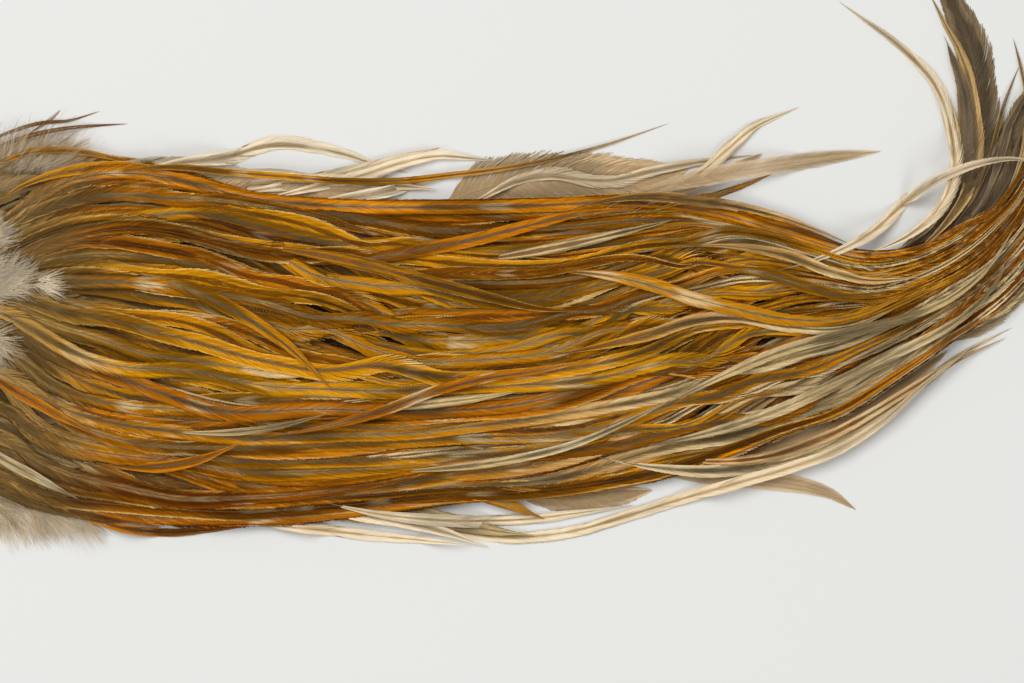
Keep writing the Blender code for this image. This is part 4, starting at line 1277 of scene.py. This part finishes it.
def make_down():
    for name, kind, count, start, end, headings, lengths, height in DOWN_TUFTS:
        plumes = []
        for k in range(count):
            share = (k + chance.uniform(0, 1)) / count
            place = (np.array(start) + (np.array(end) - start) * share + chance.normal(0, 1.6, 2)) * MM
            heading = np.interp(share, (0, 1), headings) + chance.normal(0, 9)
            root = chance.uniform(0.4, height) * MM
            plumes.append(make_plume(kind, place, heading, chance.uniform(*lengths) * MM,
                                     (root, chance.uniform(0.3, 3.0) * MM)))
        grow_plumes(f"{name}_{kind}_plumes", kind, plumes, name)
    top, _ = coat_surfaces()
    plumes = []
    for middle, spread, heading, count in ROOT_DOWN:
        for _ in range(count):
            place = (np.array(middle) + chance.normal(0, 1, 2) * spread) * MM
            base = top[cells_of(place[None])][0]
            plumes.append(make_plume(
                "down", place, heading + chance.normal(0, 16), chance.uniform(*ROOT_DOWN_LENGTHS) * MM,
                (base - ROOT_DOWN_RISE, base + ROOT_DOWN_RISE)))
    grow_plumes("root_down_plumes", "down", plumes, "hackle_coat")


def hide_points():
    """The hide's points: rings from the middle out, on its upper side and then on its lower side."""
    corners = np.array([v.co[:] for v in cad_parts["skin"].data.vertices])
    middle = (corners[:, :2].max(0) + corners[:, :2].min(0)) / 2
    thick = corners[:, 2].max()
    angles = np.arctan2(*(corners[:, :2] - middle).T[::-1])
    radii = np.linalg.norm(corners[:, :2] - middle, axis=1)
    rim = (corners[:, 2] > 0.3 * thick) & (corners[:, 2] < 0.8 * thick)
    order = np.argsort(angles[rim])
    turn = np.linspace(-math.pi, math.pi, HIDE_AROUND, endpoint=False)
    edge = np.interp(turn, angles[rim][order], radii[rim][order], period=2 * math.pi)
    ruffle = 1 - 0.02 * np.abs(np.sin(turn * 23 + 2 * np.sin(turn * 5)))
    ruffle -= chance.uniform(0, 0.012, HIDE_AROUND)
    points = []
    for is_top in (True, False):
        for ring in range(HIDE_RINGS):
            share = math.sin(0.5 * math.pi * (ring + 1) / HIDE_RINGS)
            x = middle[0] + edge * ruffle * share * np.cos(turn)
            y = middle[1] + edge * ruffle * share * np.sin(turn)
            fold = 0.5 + 0.25 * np.sin(x * 420 + 2 * np.sin(y * 210)) + 0.25 * np.sin(y * 530 + x * 150)
            pits = chance.uniform(0, 1, HIDE_AROUND) ** 6
            if is_top:
                z = thick * (0.72 + 0.2 * fold - 0.18 * pits) * (1 - 0.55 * share ** 8)
            else:
                z = thick * 0.16 * fold * (1 - share ** 2) + thick * 0.3 * share ** 10 * fold
            points += list(zip(x, y, z))
    return points


def hide_faces():
    """Faces between the hide's rings, with a cap in the middle of each side and a band round the rim."""
    side = HIDE_RINGS * HIDE_AROUND
    faces = []
    for first in (0, side):
        cap = list(range(first, first + HIDE_AROUND))
        faces.append(cap[::-1] if first else cap)
        for start in range(first, first + side - HIDE_AROUND, HIDE_AROUND):
            for k in range(HIDE_AROUND):
                a, b = start + k, start + (k + 1) % HIDE_AROUND
                c, d = b + HIDE_AROUND, a + HIDE_AROUND
                faces.append((a, b, c, d) if first else (a, d, c, b))
    last = side - HIDE_AROUND
    for k in range(HIDE_AROUND):
        a, b = last + k, last + (k + 1) % HIDE_AROUND
        faces.append((a, a + side, b + side, b))
    return faces


def make_skin():
    """The dried hide: a thin, uneven sheet with a curled rim, wrinkles and the pits of the quills."""
    mesh = bpy.data.meshes.new("skin_hide")
    mesh.from_pydata(hide_points(), [], hide_faces())
    mesh.shade_smooth()
    mesh.materials.append(make_hide_material())
    item = linked("skin_hide", mesh)
    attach(item, BODY)
    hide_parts("skin")


def make_hide_material():
    material, shade, surface = new_material("Dried hide", 0.55)
    place = shade.add("ShaderNodeTexCoord", output=3)
    blotch = shade.add("ShaderNodeTexNoise", {"Vector": place, "Scale": 70.0, "Detail": 4.0})
    colour = shade.mix(shade.ramp(blotch, 0.35, 0.65), linear(*HIDE_LIGHT), linear(*HIDE_DARK))
    pits = shade.add("ShaderNodeTexVoronoi", {"Vector": place, "Scale": 420.0})
    # Painted shade: the quill pits are darkened as well as bumped
    colour = shade.mix(shade.ramp(pits, 0.3, 0.1), colour, linear(*HIDE_PIT_SHADE))
    material.node_tree.links.new(colour, surface.inputs["Base Color"])
    bump = shade.add("ShaderNodeBump", {"Strength": 0.5, "Distance": 0.0006, "Height": pits})
    material.node_tree.links.new(bump, surface.inputs["Normal"])
    return material


def make_floor():
    mesh = bpy.data.meshes.new("floor")
    corners = [(x * FLOOR_REACH, y * FLOOR_REACH, 0) for x, y in ((-1, -1), (1, -1), (1, 1), (-1, 1))]
    mesh.from_pydata(corners, [], [(0, 1, 2, 3)])
    material, _, surface = new_material("Pale surface", 0.6)
    surface.inputs["Base Color"].default_value = linear(*FLOOR_COLOUR)
    surface.inputs["Specular IOR Level"].default_value = 0.2
    mesh.materials.append(material)
    item = linked("floor", mesh)


def make_light(name, place, size, power):
    light = bpy.data.lights.new(name, "AREA")
    light.shape = "SQUARE"
    light.size = size
    light.energy = power
    item = linked(name, light)
    item.location = place
    aim = Vector((*PHOTO_CENTRE, 0)) - item.location
    item.rotation_euler = aim.to_track_quat("-Z", "Y").to_euler()


def make_stage():
    make_floor()
    make_light("Key light", *KEY_LIGHT)
    make_light("Fill light", *FILL_LIGHT)
    world = bpy.data.worlds.new("Soft white room")
    world.use_nodes = True
    background = world.node_tree.nodes["Background"].inputs
    background["Color"].default_value = (1, 1, 1, 1)
    background["Strength"].default_value = ROOM_LIGHT
    camera = bpy.data.cameras.new("Camera")
    camera.lens = LENS_MM
    camera.sensor_width = SENSOR_MM
    camera.clip_end = 10
    item = linked("Camera", camera)
    item.location = (*PHOTO_CENTRE, SHARP_HEIGHT + PHOTO_WIDTH * LENS_MM / SENSOR_MM)
    bpy.context.scene.world = world
    bpy.context.scene.camera = item
    bpy.context.scene.view_settings.view_transform = "Standard"


make_stage()
make_coat()
make_loose()
make_down()
make_skin()
